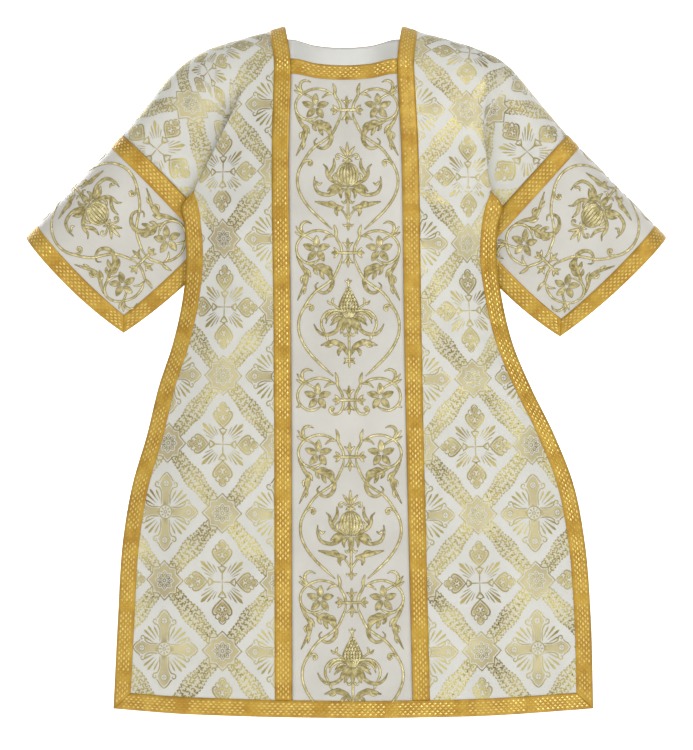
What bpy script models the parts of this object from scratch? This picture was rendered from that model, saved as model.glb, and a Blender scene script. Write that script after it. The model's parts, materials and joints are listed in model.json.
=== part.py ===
"""A dalmatic: a wide-sleeved church vestment, worn on nothing, in its hollow form.

One set of points describes the whole garment.  Rows run from the back hem (negative)
over the shoulder ridge (row 0) to the front hem (positive).  Columns run from the
middle out to each side, then over the armpit fold and down the sleeve to its cuff.
Every sewn piece is a wall of cloth that takes its own cells of these points, drawn in
a little along its seams.  The galloons are walls on the same points, moved outward.
Draped cloth is no box, tube or turned shape, so the cells are laid between the points.

Metres, +Z up, the front faces -Y, the wearer's left is +X.  The origin lies between
the two neck points of the shoulders, where a wearer holds the garment up.
"""

import math
from collections import namedtuple

import bmesh
import bpy
from mathutils import Vector

# Cloth and trim
CLOTH = 0.0015            # wall of a lined panel
BRAID = 0.0012            # wall of a galloon
LAY = 0.0003              # between two layers that lie on each other
HALF_SEAM = 0.00015       # each piece stops this far from its seam line
GALLOON = 0.026           # width of every galloon

# Body
ARM_DROP = 0.257          # neck point down to the armpit
HEM_DROP = 1.052          # neck point down to the hem at the sides
HEM_SAG = 0.006           # the hem is this much lower in the middle
NECK_SAG = 0.014          # the neckline dips this much between its corners
DRIFT = 0.0132            # sideways hang for each metre of drop
ROLL_AT_NECK = 0.080      # height over which the shoulder turns into the front
ROLL_AT_CUFF = 0.052
ROUNDNESS = 2.3           # how late the front curves back towards its side edges
BACK_TAPER = 0.004        # the back's middle panel is at most this much narrower than at its hem

# Armpit fold
LAYER = 0.008             # between the layers of the fold
SPREAD = 0.012            # spacing of the fold's columns where it has run out

# Sleeve depths, front and back of the ridge
ARMHOLE_TOP_DEPTH = 0.057
CUFF_TOP_DEPTH = 0.055
ARMHOLE_LOW_DEPTH = {-1: 0.026, 1: 0.014}
CUFF_LOW_DEPTH = 0.046
BACK_FLAP = 0.96          # the hidden flap hangs a little shorter

FRONT = -1
BACK = 1
SIDES = {"left": 1, "right": -1}

# Rows down to the armpit, as parts of the way from the ridge
UPPER_ROWS = (0.0, 0.02, 0.058, 0.13, 0.218, 0.312, 0.45, 0.60, 0.75, 0.885, 1.0)
# Rows below the armpit, as drops from the neck point; the last two bound the hem galloon
LOWER_ROWS = (0.281, 0.31, 0.36, 0.42, 0.49, 0.56, 0.63, 0.71, 0.80, 0.91)
FRONT_NECK_ROW = 4
BACK_NECK_ROW = 2
LINING_ROW = 7            # the neck lining ends here, down the back
ARM_ROW = len(UPPER_ROWS) - 1
HEM_ROW = ARM_ROW + len(LOWER_ROWS) + 2

# Columns
SEAM = 2                  # centre panel meets side panel, inner edge of the long galloon
BRAID_EDGE = 3            # outer edge of the long galloon
FOLD = 7                  # armpit fold; below it, inner edge of the side galloon
UNDER = 9                 # sleeve layer starts, behind the fold
ARMHOLE = 13              # sleeve panel starts, upper edge of the arm galloon
BAND_EDGE = 14
CUFF_BRAID = 18
CUFF = 19
SIDE_EDGE = 30            # outer edge of the body below the armpit

Ridge = namedtuple("Ridge", "out drop")
RIDGE = (
    Ridge(0.0900, 0.000),
    Ridge(0.1500, 0.016),
    Ridge(0.2000, 0.031),
    Ridge(0.2400, 0.049),
    Ridge(0.2620, 0.067),
    Ridge(0.2920, 0.103),
    Ridge(0.3455, 0.168),
    Ridge(0.4240, 0.250),
    Ridge(0.4965, 0.327),
)

# Half width of the centre panel, and how far the front and the back stand from the ridge
Level = namedtuple("Level", "drop seam front_middle front_edge back_middle back_edge")
LEVELS = (
    Level(0.000, 0.0900, 0.056, 0.056, 0.056, 0.056),
    Level(0.056, 0.0815, 0.074, 0.062, 0.070, 0.060),
    Level(0.100, 0.0820, 0.089, 0.064, 0.088, 0.060),
    Level(0.180, 0.0850, 0.107, 0.062, 0.106, 0.057),
    Level(0.257, 0.0860, 0.117, 0.054, 0.113, 0.048),
    Level(0.330, 0.0860, 0.120, 0.048, 0.112, 0.040),
    Level(0.470, 0.0860, 0.121, 0.046, 0.108, 0.036),
    Level(0.630, 0.0870, 0.121, 0.050, 0.107, 0.038),
    Level(0.820, 0.0890, 0.125, 0.054, 0.112, 0.042),
    Level(1.060, 0.0915, 0.132, 0.058, 0.121, 0.046),
)

# Half width of the body from the armpit to the hem
Edge = namedtuple("Edge", "drop left right")
EDGES = (
    Edge(0.257, 0.2290, 0.2380),
    Edge(0.281, 0.2400, 0.2520),
    Edge(0.330, 0.2300, 0.2455),
    Edge(0.400, 0.2350, 0.2496),
    Edge(0.470, 0.2468, 0.2620),
    Edge(0.550, 0.2765, 0.2888),
    Edge(0.630, 0.3145, 0.3095),
    Edge(0.720, 0.3473, 0.3360),
    Edge(0.820, 0.3625, 0.3520),
    Edge(0.930, 0.3680, 0.3590),
    Edge(1.060, 0.3695, 0.3671),
)

# The armpit fold from the ridge down: its place, how far it has closed, and how wide it is
Fold = namedtuple("Fold", "along left right left_shut right_shut left_width right_width")
FOLDS = (
    Fold(0.00, 0.2430, 0.1600, 0.00, 0.00, 0.022, 0.034),
    Fold(0.13, 0.2300, 0.1560, 0.15, 0.00, 0.022, 0.034),
    Fold(0.26, 0.2205, 0.1530, 0.30, 0.10, 0.022, 0.034),
    Fold(0.38, 0.2150, 0.1585, 0.45, 0.35, 0.022, 0.034),
    Fold(0.50, 0.2135, 0.1730, 0.55, 0.60, 0.022, 0.034),
    Fold(0.70, 0.2155, 0.1960, 0.70, 0.85, 0.022, 0.034),
    Fold(0.85, 0.2190, 0.2145, 0.85, 1.00, 0.023, 0.036),
    Fold(1.00, 0.2228, 0.2325, 1.00, 1.00, 0.026, 0.050),
)

# Sleeve panel outline seen from the front: out from the middle, down from the neck point
Sleeve = namedtuple("Sleeve", "name out_left drop_left out_right drop_right")
SLEEVE = (
    Sleeve("armhole_middle", 0.2655, 0.2540, 0.2650, 0.2468),
    Sleeve("armhole_low", 0.1820, 0.3450, 0.1850, 0.3370),
    Sleeve("cuff_middle", 0.4130, 0.4125, 0.4225, 0.4110),
    Sleeve("cuff_low", 0.3268, 0.4811, 0.3443, 0.4757),
    Sleeve("under_middle", 0.2534, 0.4235, 0.2647, 0.4144),
)
ARMHOLE_OUT = 0.3455
CUFF_OUT = 0.4965


def read(table, key, at, column):
    """Smooth curve through one named column of a table, at a value of its key column."""
    keys = [getattr(row, key) for row in table]
    values = [getattr(row, column) for row in table]
    last = len(keys) - 2
    index = 0
    while index < last and at > keys[index + 1]:
        index += 1

    def slope(row):
        before = max(row - 1, 0)
        after = min(row + 1, len(keys) - 1)
        return (values[after] - values[before]) / (keys[after] - keys[before])

    step = keys[index + 1] - keys[index]
    part = (at - keys[index]) / step
    start_slope = slope(index) * step
    end_slope = slope(index + 1) * step
    change = values[index + 1] - values[index]
    bend = 3.0 * change - 2.0 * start_slope - end_slope
    twist = start_slope + end_slope - 2.0 * change
    return values[index] + part * (start_slope + part * (bend + part * twist))


def mix(low, high, part):
    return low + (high - low) * part


def ridge(out):
    """Point of the shoulder ridge, seen from the front."""
    return Vector((out, -read(RIDGE, "out", out, "drop")))


def turned(fall, out):
    """How far the cloth has turned over the ridge, from 0 on it to 1 where it hangs."""
    height = mix(ROLL_AT_NECK, ROLL_AT_CUFF, min(out / CUFF_OUT, 1.0))
    rest = max(1.0 - fall / height, 0.0)
    return math.sqrt(1.0 - rest * rest)


def body_depth(face, out, edge, drop):
    """Distance of the front or back from the ridge plane, before the roll."""
    name = "front" if face == FRONT else "back"
    middle = read(LEVELS, "drop", drop, name + "_middle")
    side = read(LEVELS, "drop", drop, name + "_edge")
    return mix(middle, side, (out / edge) ** ROUNDNESS)


def fold_top(side_name):
    return FOLDS[0].left if side_name == "left" else FOLDS[0].right


def top_out(side_name, column):
    """Where a body column starts on the ridge."""
    seam = LEVELS[0].seam
    if column <= SEAM:
        return seam * column / SEAM
    braid = seam + GALLOON
    if column == BRAID_EDGE:
        return braid
    part = (column - BRAID_EDGE) / (FOLD - BRAID_EDGE)
    return mix(braid, fold_top(side_name), part)


def row_drop(row):
    """Drop of a row below the armpit."""
    lower = LOWER_ROWS + (HEM_DROP - GALLOON, HEM_DROP)
    return lower[row - ARM_ROW - 1]


def body_point(side_name, face, row, column):
    """Body columns: out from the middle, depth, height."""
    if row <= ARM_ROW:
        along = UPPER_ROWS[row]
        start = max(top_out(side_name, column), LEVELS[0].seam)
        top = -ridge(start).y
        drop = mix(top, ARM_DROP, along)
        edge = read(FOLDS, "along", along, side_name)
        fold = edge
        fall = drop - top
    else:
        start = LEVELS[0].seam
        drop = row_drop(row)
        edge = read(EDGES, "drop", drop, side_name)
        fold = edge - GALLOON
        fall = drop
    seam = read(LEVELS, "drop", drop, "seam")
    if face == BACK:
        seam = max(seam, LEVELS[-1].seam - BACK_TAPER)
    if row == 0:
        seam = LEVELS[0].seam
    if column == SIDE_EDGE:
        out = edge
    elif column <= SEAM:
        out = seam * column / SEAM
    elif column == BRAID_EDGE:
        out = seam + GALLOON
    else:
        out = mix(seam + GALLOON, fold, (column - BRAID_EDGE) / (FOLD - BRAID_EDGE))
    if row == 0:
        out = top_out(side_name, column)
    depth = body_depth(face, out, edge, drop) * turned(fall, start)
    if column <= SEAM:
        neck = 1.0 - (column / SEAM) ** 2
        drop += NECK_SAG * neck * max(1.0 - fall / ARM_DROP, 0.0)
    if row >= HEM_ROW - 1:
        drop += HEM_SAG * (1.0 - (out / edge) ** 2)
    return Vector((out, face * depth, -drop))


def fold_point(side_name, face, row, column):
    """The two columns behind the armpit fold: they spread out where it has run out."""
    along = UPPER_ROWS[row]
    shut = read(FOLDS, "along", along, side_name + "_shut")
    open_part = max(1.0 - 2.0 * shut, 0.0)
    closed_part = max(2.0 * shut - 1.0, 0.0)
    count = column - FOLD
    at_fold = body_point(side_name, face, row, FOLD)
    top = fold_top(side_name)
    width = read(FOLDS, "along", along, side_name + "_width")
    shift = SPREAD * count * open_part - width * closed_part
    lift = (ridge(top + SPREAD * count).y - ridge(top).y) * (1.0 - along)
    depth = abs(at_fold.y) - LAYER * count * min(2.0 * shut, 1.0)
    if row == 0:
        shift = SPREAD * count
        depth = 0.0
    return Vector((at_fold.x + shift, face * depth, at_fold.z + lift))


def corner(side_name, name):
    """A named point of the sleeve panel's outline, seen from the front."""
    row = next(entry for entry in SLEEVE if entry.name == name)
    out = getattr(row, "out_" + side_name)
    drop = getattr(row, "drop_" + side_name)
    return Vector((out, -drop))


def through(start, middle, end, part):
    """Parabola through three points at 0, a half and 1."""
    return (
        start * (1.0 - part) * (1.0 - 2.0 * part)
        + middle * 4.0 * part * (1.0 - part)
        + end * part * (2.0 * part - 1.0)
    )


def armhole_line(side_name, along):
    low = corner(side_name, "armhole_low")
    return through(ridge(ARMHOLE_OUT), corner(side_name, "armhole_middle"), low, along)


def cuff_line(side_name, along):
    low = corner(side_name, "cuff_low")
    return through(ridge(CUFF_OUT), corner(side_name, "cuff_middle"), low, along)


def under_line(side_name, part):
    start = corner(side_name, "armhole_low")
    end = corner(side_name, "cuff_low")
    return through(start, corner(side_name, "under_middle"), end, part)


def sleeve_parts(side_name):
    """Part of the way from armhole to cuff of each sleeve column."""
    length = (ridge(CUFF_OUT) - ridge(ARMHOLE_OUT)).length
    braid = GALLOON / length
    inner = [mix(braid, 1.0 - braid, step / 4.0) for step in range(5)]
    return [0.0] + inner + [1.0]


def sleeve_place(side_name, part, along):
    """Sleeve panel seen from the front: a patch between its four edges."""
    top = ridge(mix(ARMHOLE_OUT, CUFF_OUT, part))
    across = mix(armhole_line(side_name, along), cuff_line(side_name, along), part)
    down = mix(top, under_line(side_name, part), along)
    high = mix(ridge(ARMHOLE_OUT), ridge(CUFF_OUT), part)
    low = mix(under_line(side_name, 0.0), under_line(side_name, 1.0), part)
    return across + down - mix(high, low, along)


def sleeve_depth(face, part, along):
    top = mix(ARMHOLE_TOP_DEPTH, CUFF_TOP_DEPTH, part)
    low = mix(ARMHOLE_LOW_DEPTH[face], CUFF_LOW_DEPTH, part)
    return mix(top, low, along)


def sleeve_point(side_name, face, row, column):
    """Sleeve columns, from behind the armpit fold to the cuff."""
    along = UPPER_ROWS[row]
    if face == BACK:
        along *= mix(1.0, BACK_FLAP, min((column - UNDER) / (ARMHOLE - UNDER), 1.0))
    if column >= ARMHOLE:
        part = sleeve_parts(side_name)[column - ARMHOLE]
        place = sleeve_place(side_name, part, along)
        top = ridge(mix(ARMHOLE_OUT, CUFF_OUT, part))
        depth = sleeve_depth(face, part, along)
    else:
        part = (column - UNDER) / (ARMHOLE - UNDER)
        under = fold_point(side_name, face, row, UNDER)
        under_top = fold_point(side_name, face, 0, UNDER)
        start = Vector((under.x, under.z))
        start_top = Vector((under_top.x, under_top.z))
        top = ridge(mix(start_top.x, ARMHOLE_OUT, part))
        chord_top = mix(start_top, ridge(ARMHOLE_OUT), part)
        place = mix(start, armhole_line(side_name, along), part)
        place += (top - chord_top) * (1.0 - along)
        start_fall = (start - start_top).length
        start_depth = abs(under.y) / max(turned(start_fall, start_top.x), 0.01)
        if row == 0:
            start_depth = LEVELS[0].front_edge
        depth = mix(start_depth, sleeve_depth(face, 0.0, along), part)
    fall = (place - top).length
    return Vector((place.x, face * depth * turned(fall, top.x), place.y))


def garment_point(row, column):
    """Any point of the garment; a negative column lies on the wearer's right."""
    side_name = "left" if column >= 0 else "right"
    face = FRONT if row >= 0 else BACK
    count = abs(column)
    level = abs(row)
    if count <= FOLD or count == SIDE_EDGE:
        point = body_point(side_name, face, level, count)
    elif count <= UNDER:
        point = fold_point(side_name, face, level, count)
    else:
        point = sleeve_point(side_name, face, level, count)
    point.x = point.x * SIDES[side_name] - DRIFT * point.z
    return point


def cell(row, column, next_column):
    """Corners of one cell, in order round it, between two rows and two columns."""
    return ((row, column), (row, next_column), (row + 1, next_column), (row + 1, column))


def strip(side, first, last):
    """Neighbouring columns of one side, or across the middle, in order."""
    if side == 0:
        return [(column, column + 1) for column in range(first, last)]
    return [(side * column, side * (column + 1)) for column in range(first, last)]


def block(rows, columns):
    return [cell(row, a, b) for row in rows for a, b in columns]


def face_rows(face, first, last):
    """Rows between two levels on the front or the back."""
    if face == FRONT:
        return range(first, last)
    return range(-last, -first)


def edge_cells(side, face):
    """The side galloon's cells: a pointed one at the armpit, then down to the hem's mitre."""
    fold = side * FOLD
    edge = side * SIDE_EDGE
    sign = 1 if face == FRONT else -1
    first = sign * (ARM_ROW + 1)
    cells = [((sign * ARM_ROW, fold), (first, edge), (first, fold))]
    for row in face_rows(face, ARM_ROW + 1, HEM_ROW - 1):
        cells.append(cell(row, fold, edge))
    hem = sign * HEM_ROW
    above = sign * (HEM_ROW - 1)
    cells.append(((above, fold), (above, edge), (hem, edge)))
    return cells


def hem_cells(face):
    """The hem galloon's cells, with a mitre at each end."""
    sign = 1 if face == FRONT else -1
    hem = sign * HEM_ROW
    above = sign * (HEM_ROW - 1)
    cells = []
    for a, b in strip(0, -FOLD, FOLD):
        cells.append(((above, a), (above, b), (hem, b), (hem, a)))
    for side in SIDES.values():
        cells.append(((above, side * FOLD), (hem, side * SIDE_EDGE), (hem, side * FOLD)))
    return cells


def side_panel_cells(side, face):
    """Body and upper sleeve in one cut, joined over the armpit fold."""
    cells = block(face_rows(face, 0, HEM_ROW), strip(side, SEAM, FOLD))
    cells += block(face_rows(face, 0, ARM_ROW), strip(side, FOLD, ARMHOLE))
    cells += edge_cells(side, face)
    sign = 1 if face == FRONT else -1
    hem = sign * HEM_ROW
    above = sign * (HEM_ROW - 1)
    cells.append(((above, side * FOLD), (hem, side * SIDE_EDGE), (hem, side * FOLD)))
    return cells


def underside_cells(side, face):
    """Galloon along the open lower edge of the sleeve, mitred into the cuff's."""
    sign = 1 if face == FRONT else -1
    low = sign * ARM_ROW
    above = sign * (ARM_ROW - 1)
    cells = []
    for a, b in strip(side, BAND_EDGE, CUFF_BRAID):
        cells.append(((above, a), (above, b), (low, b), (low, a)))
    cells.append(((above, side * CUFF_BRAID), (low, side * CUFF), (low, side * CUFF_BRAID)))
    return cells


def cuff_cells(side):
    """Galloon round the cuff, over the ridge, mitred at both lower corners."""
    cells = block(range(-ARM_ROW + 1, ARM_ROW - 1), strip(side, CUFF_BRAID, CUFF))
    for sign in (1, -1):
        above = sign * (ARM_ROW - 1)
        low = sign * ARM_ROW
        cells.append(((above, side * CUFF_BRAID), (above, side * CUFF), (low, side * CUFF)))
    return cells


def unit(vector):
    return vector.normalized()


def turn_of(corners):
    """Normal of a cell, by its diagonals."""
    points = [garment_point(*key) for key in corners]
    if len(points) == 3:
        return unit((points[1] - points[0]).cross(points[2] - points[0]))
    return unit((points[2] - points[0]).cross(points[3] - points[1]))


def facing_out(corners):
    """The same corners, ordered so that the cell faces away from the hollow."""
    area = 0.0
    for index, (row, column) in enumerate(corners):
        next_row, next_column = corners[(index + 1) % len(corners)]
        area += row * next_column - next_row * column
    return corners if area > 0 else tuple(reversed(corners))


def all_cells():
    """Every cell of the garment, for the normals that neighbouring pieces share."""
    cells = []
    for side in SIDES.values():
        for face in (FRONT, BACK):
            cells += side_panel_cells(side, face)
        cells += block(range(-ARM_ROW, ARM_ROW), strip(side, ARMHOLE, CUFF))
    cells += block(range(FRONT_NECK_ROW, HEM_ROW), strip(0, -SEAM, SEAM))
    cells += block(range(-HEM_ROW, -BACK_NECK_ROW), strip(0, -SEAM, SEAM))
    return [facing_out(corners) for corners in cells]


def shared_normals():
    """One outward direction at every point, from all the cells round it.

    The lowest point of an armpit fold takes the direction of the fold above it.
    """
    sums = {}
    for corners in all_cells():
        normal = turn_of(corners)
        for key in corners:
            sums[key] = sums.get(key, Vector()) + normal
    for side in SIDES.values():
        for sign in (1, -1):
            sums[(sign * ARM_ROW, side * FOLD)] = sums[(sign * (ARM_ROW - 1), side * FOLD)]
    return {key: unit(total) for key, total in sums.items()}


def drawn_in(cells, normals):
    """The piece's points, with its outline moved in by half a seam gap."""
    uses = {}
    for corners in cells:
        for index, key in enumerate(corners):
            following = corners[(index + 1) % len(corners)]
            uses.setdefault(frozenset((key, following)), []).append((key, following))
    inward = {}
    for pairs in uses.values():
        if len(pairs) > 1:
            continue
        key, following = pairs[0]
        run = garment_point(*following) - garment_point(*key)
        for end in (key, following):
            inward.setdefault(end, []).append(unit(normals[end].cross(run)))
    points = {}
    for corners in cells:
        for key in corners:
            point = garment_point(*key)
            sides = inward.get(key, [])
            if len(sides) >= 2:
                first, second = sides[0], sides[1]
                point += (first + second) * HALF_SEAM / (1.0 + max(first.dot(second), -0.5))
            points[key] = point
    return points


def cloth_wall(name, cells, low, high, material, normals, collection):
    """A closed wall over some cells, between two distances from the garment's points."""
    cells = [facing_out(corners) for corners in cells]
    points = drawn_in(cells, normals)
    mesh = bmesh.new()
    outer = {key: mesh.verts.new(point + normals[key] * high) for key, point in points.items()}
    inner = {key: mesh.verts.new(point + normals[key] * low) for key, point in points.items()}
    open_edges = {}
    for corners in cells:
        mesh.faces.new([outer[key] for key in corners])
        mesh.faces.new([inner[key] for key in reversed(corners)])
        for index, key in enumerate(corners):
            following = corners[(index + 1) % len(corners)]
            if (following, key) in open_edges:
                del open_edges[(following, key)]
            else:
                open_edges[(key, following)] = True
    for key, following in open_edges:
        mesh.faces.new((outer[following], outer[key], inner[key], inner[following]))
    bmesh.ops.triangulate(mesh, faces=mesh.faces[:])
    data = bpy.data.meshes.new(name)
    mesh.to_mesh(data)
    mesh.free()
    data.materials.append(material)
    piece = bpy.data.objects.new(name, data)
    collection.objects.link(piece)
    return piece


def finish(name, colour, roughness, metallic):
    material = bpy.data.materials.new(name)
    material.use_nodes = True
    shader = material.node_tree.nodes["Principled BSDF"]
    shader.inputs["Base Color"].default_value = (*colour, 1.0)
    shader.inputs["Roughness"].default_value = roughness
    shader.inputs["Metallic"].default_value = metallic
    return material


def build():
    for old in list(bpy.data.objects):
        bpy.data.objects.remove(old, do_unlink=True)
    collection = bpy.data.collections.new("dalmatic")
    bpy.context.scene.collection.children.link(collection)

    brocade = finish("brocade", (0.72, 0.70, 0.62), 0.45, 0.0)
    satin = finish("satin", (0.70, 0.68, 0.62), 0.40, 0.0)
    gold = finish("galloon", (0.68, 0.40, 0.05), 0.40, 0.6)
    lining = finish("lining", (0.70, 0.70, 0.69), 0.55, 0.0)

    normals = shared_normals()
    panel = (-CLOTH, 0.0)
    on_panel = (LAY, LAY + BRAID)
    inside = (-2.0 * CLOTH - LAY, -CLOTH - LAY)

    def piece(name, cells, layer, material):
        cloth_wall(name, cells, layer[0], layer[1], material, normals, collection)

    middle = strip(0, -SEAM, SEAM)
    piece("front_centre_panel", block(range(FRONT_NECK_ROW, HEM_ROW), middle), panel, satin)
    piece("back_centre_panel", block(range(-HEM_ROW, -BACK_NECK_ROW), middle), panel, satin)
    piece("neck_lining", block(range(-LINING_ROW, -BACK_NECK_ROW), middle), inside, lining)
    front_neck = block(range(FRONT_NECK_ROW, FRONT_NECK_ROW + 1), middle)
    back_neck = block(range(-BACK_NECK_ROW - 1, -BACK_NECK_ROW), middle)
    piece("front_neck_galloon", front_neck, on_panel, gold)
    piece("back_neck_galloon", back_neck, on_panel, gold)
    for side_name, side in SIDES.items():
        long_rows = range(-HEM_ROW + 1, HEM_ROW - 1)
        long_braid = block(long_rows, strip(side, SEAM, BRAID_EDGE))
        piece("long_galloon_" + side_name, long_braid, on_panel, gold)
        sleeve_rows = range(-ARM_ROW, ARM_ROW)
        sleeve = block(sleeve_rows, strip(side, ARMHOLE, CUFF))
        piece("sleeve_panel_" + side_name, sleeve, panel, satin)
        band = block(sleeve_rows, strip(side, ARMHOLE, BAND_EDGE))
        piece("arm_galloon_" + side_name, band, on_panel, gold)
        piece("cuff_galloon_" + side_name, cuff_cells(side), on_panel, gold)
    for face_name, face in (("front", FRONT), ("back", BACK)):
        piece(face_name + "_hem_galloon", hem_cells(face), on_panel, gold)
        for side_name, side in SIDES.items():
            sewn = side_panel_cells(side, face)
            edge = edge_cells(side, face)
            under = underside_cells(side, face)
            piece(face_name + "_side_panel_" + side_name, sewn, panel, brocade)
            piece(face_name + "_side_galloon_" + side_name, edge, on_panel, gold)
            piece(face_name + "_underarm_galloon_" + side_name, under, on_panel, gold)


build()
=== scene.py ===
"""The looks of the dalmatic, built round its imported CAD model.

The points of part.py are laid out again here and smoothed into one fine net of the whole
garment.  Every panel is a thin closed shell of that net, with its creases pressed in.
The embroidery and the brocade's figures are drawn flat, in millimetres, by a few kinds
of stroke and then laid on the cloth.  The galloons are woven strips with raised lozenges.

Metres, +Z up, the front faces -Y, the wearer's left is +X.
"""

import json
import math
from collections import namedtuple

import bpy
import numpy as np
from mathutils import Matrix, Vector
from mathutils.bvhtree import BVHTree

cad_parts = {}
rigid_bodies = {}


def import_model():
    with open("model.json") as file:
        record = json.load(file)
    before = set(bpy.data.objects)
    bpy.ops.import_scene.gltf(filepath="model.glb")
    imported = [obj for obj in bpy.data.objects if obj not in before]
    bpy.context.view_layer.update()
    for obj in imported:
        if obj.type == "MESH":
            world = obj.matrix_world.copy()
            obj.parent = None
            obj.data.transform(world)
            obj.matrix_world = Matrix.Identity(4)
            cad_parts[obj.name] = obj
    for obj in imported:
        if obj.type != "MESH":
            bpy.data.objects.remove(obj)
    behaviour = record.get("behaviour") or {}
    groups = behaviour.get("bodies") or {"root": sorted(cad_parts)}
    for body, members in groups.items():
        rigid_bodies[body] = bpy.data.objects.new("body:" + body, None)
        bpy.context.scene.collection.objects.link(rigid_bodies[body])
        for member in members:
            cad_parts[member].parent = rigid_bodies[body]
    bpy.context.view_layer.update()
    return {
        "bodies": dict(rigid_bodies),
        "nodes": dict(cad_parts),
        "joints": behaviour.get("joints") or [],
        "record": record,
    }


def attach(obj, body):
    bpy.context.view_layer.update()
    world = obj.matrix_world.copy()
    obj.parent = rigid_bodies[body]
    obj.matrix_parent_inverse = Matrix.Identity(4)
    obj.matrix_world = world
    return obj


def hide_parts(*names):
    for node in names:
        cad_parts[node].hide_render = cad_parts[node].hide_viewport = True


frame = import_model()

# Cloth and trim
CLOTH = 0.0015            # wall of a lined panel
BRAID = 0.0012            # wall of a galloon
LAY = 0.0003              # between two layers that lie on each other
GALLOON = 0.026           # width of every galloon

# Body
ARM_DROP = 0.257          # neck point down to the armpit
HEM_DROP = 1.052          # neck point down to the hem at the sides
HEM_SAG = 0.006           # the hem is this much lower in the middle
NECK_SAG = 0.014          # the neckline dips this much between its corners
DRIFT = 0.0132            # sideways hang for each metre of drop
ROLL_AT_NECK = 0.080      # height over which the shoulder turns into the front
ROLL_AT_CUFF = 0.052
ROUNDNESS = 2.3           # how late the front curves back towards its side edges
BACK_TAPER = 0.004        # the back's middle panel is at most this much narrower than at its hem

# Armpit fold
LAYER = 0.008             # between the layers of the fold
SPREAD = 0.012            # spacing of the fold's columns where it has run out

# Sleeve depths, front and back of the ridge
ARMHOLE_TOP_DEPTH = 0.057
CUFF_TOP_DEPTH = 0.055
ARMHOLE_LOW_DEPTH = {-1: 0.026, 1: 0.014}
CUFF_LOW_DEPTH = 0.046
BACK_FLAP = 0.96          # the hidden flap hangs a little shorter

FRONT = -1
BACK = 1
SIDES = {"left": 1, "right": -1}
FACES = {"front": 1, "back": -1}          # sign of a face's rows

# Rows down to the armpit, as parts of the way from the ridge
UPPER_ROWS = (0.0, 0.02, 0.058, 0.13, 0.218, 0.312, 0.45, 0.60, 0.75, 0.885, 1.0)
# Rows below the armpit, as drops from the neck point; the last two bound the hem galloon
LOWER_ROWS = (0.281, 0.31, 0.36, 0.42, 0.49, 0.56, 0.63, 0.71, 0.80, 0.91)
FRONT_NECK_ROW = 4
BACK_NECK_ROW = 2
NECK_ROWS = {1: FRONT_NECK_ROW, -1: BACK_NECK_ROW}
LINING_ROW = 7            # the neck lining ends here, down the back
ARM_ROW = len(UPPER_ROWS) - 1
HEM_ROW = ARM_ROW + len(LOWER_ROWS) + 2

# Columns
SEAM = 2                  # centre panel meets side panel, inner edge of the long galloon
BRAID_EDGE = 3            # outer edge of the long galloon
FOLD = 7                  # armpit fold; below it, inner edge of the side galloon
UNDER = 9                 # sleeve layer starts, behind the fold
ARMHOLE = 13              # sleeve panel starts, upper edge of the arm galloon
BAND_EDGE = 14
CUFF_BRAID = 18
CUFF = 19
SIDE_EDGE = 30            # outer edge of the body below the armpit

Ridge = namedtuple("Ridge", "out drop")
RIDGE = (
    Ridge(0.0900, 0.000),
    Ridge(0.1500, 0.016),
    Ridge(0.2000, 0.031),
    Ridge(0.2400, 0.049),
    Ridge(0.2620, 0.067),
    Ridge(0.2920, 0.103),
    Ridge(0.3455, 0.168),
    Ridge(0.4240, 0.250),
    Ridge(0.4965, 0.327),
)

# Half width of the centre panel, and how far the front and the back stand from the ridge
Level = namedtuple("Level", "drop seam front_middle front_edge back_middle back_edge")
LEVELS = (
    Level(0.000, 0.0900, 0.056, 0.056, 0.056, 0.056),
    Level(0.056, 0.0815, 0.074, 0.062, 0.070, 0.060),
    Level(0.100, 0.0820, 0.089, 0.064, 0.088, 0.060),
    Level(0.180, 0.0850, 0.107, 0.062, 0.106, 0.057),
    Level(0.257, 0.0860, 0.117, 0.054, 0.113, 0.048),
    Level(0.330, 0.0860, 0.120, 0.048, 0.112, 0.040),
    Level(0.470, 0.0860, 0.121, 0.046, 0.108, 0.036),
    Level(0.630, 0.0870, 0.121, 0.050, 0.107, 0.038),
    Level(0.820, 0.0890, 0.125, 0.054, 0.112, 0.042),
    Level(1.060, 0.0915, 0.132, 0.058, 0.121, 0.046),
)

# Half width of the body from the armpit to the hem
Edge = namedtuple("Edge", "drop left right")
EDGES = (
    Edge(0.257, 0.2290, 0.2380),
    Edge(0.281, 0.2400, 0.2520),
    Edge(0.330, 0.2300, 0.2455),
    Edge(0.400, 0.2350, 0.2496),
    Edge(0.470, 0.2468, 0.2620),
    Edge(0.550, 0.2765, 0.2888),
    Edge(0.630, 0.3145, 0.3095),
    Edge(0.720, 0.3473, 0.3360),
    Edge(0.820, 0.3625, 0.3520),
    Edge(0.930, 0.3680, 0.3590),
    Edge(1.060, 0.3695, 0.3671),
)

# The armpit fold from the ridge down: its place, how far it has closed, and how wide it is
Fold = namedtuple("Fold", "along left right left_shut right_shut left_width right_width")
FOLDS = (
    Fold(0.00, 0.2430, 0.1600, 0.00, 0.00, 0.022, 0.034),
    Fold(0.13, 0.2300, 0.1560, 0.15, 0.00, 0.022, 0.034),
    Fold(0.26, 0.2205, 0.1530, 0.30, 0.10, 0.022, 0.034),
    Fold(0.38, 0.2150, 0.1585, 0.45, 0.35, 0.022, 0.034),
    Fold(0.50, 0.2135, 0.1730, 0.55, 0.60, 0.022, 0.034),
    Fold(0.70, 0.2155, 0.1960, 0.70, 0.85, 0.022, 0.034),
    Fold(0.85, 0.2190, 0.2145, 0.85, 1.00, 0.023, 0.036),
    Fold(1.00, 0.2228, 0.2325, 1.00, 1.00, 0.026, 0.050),
)

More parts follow.
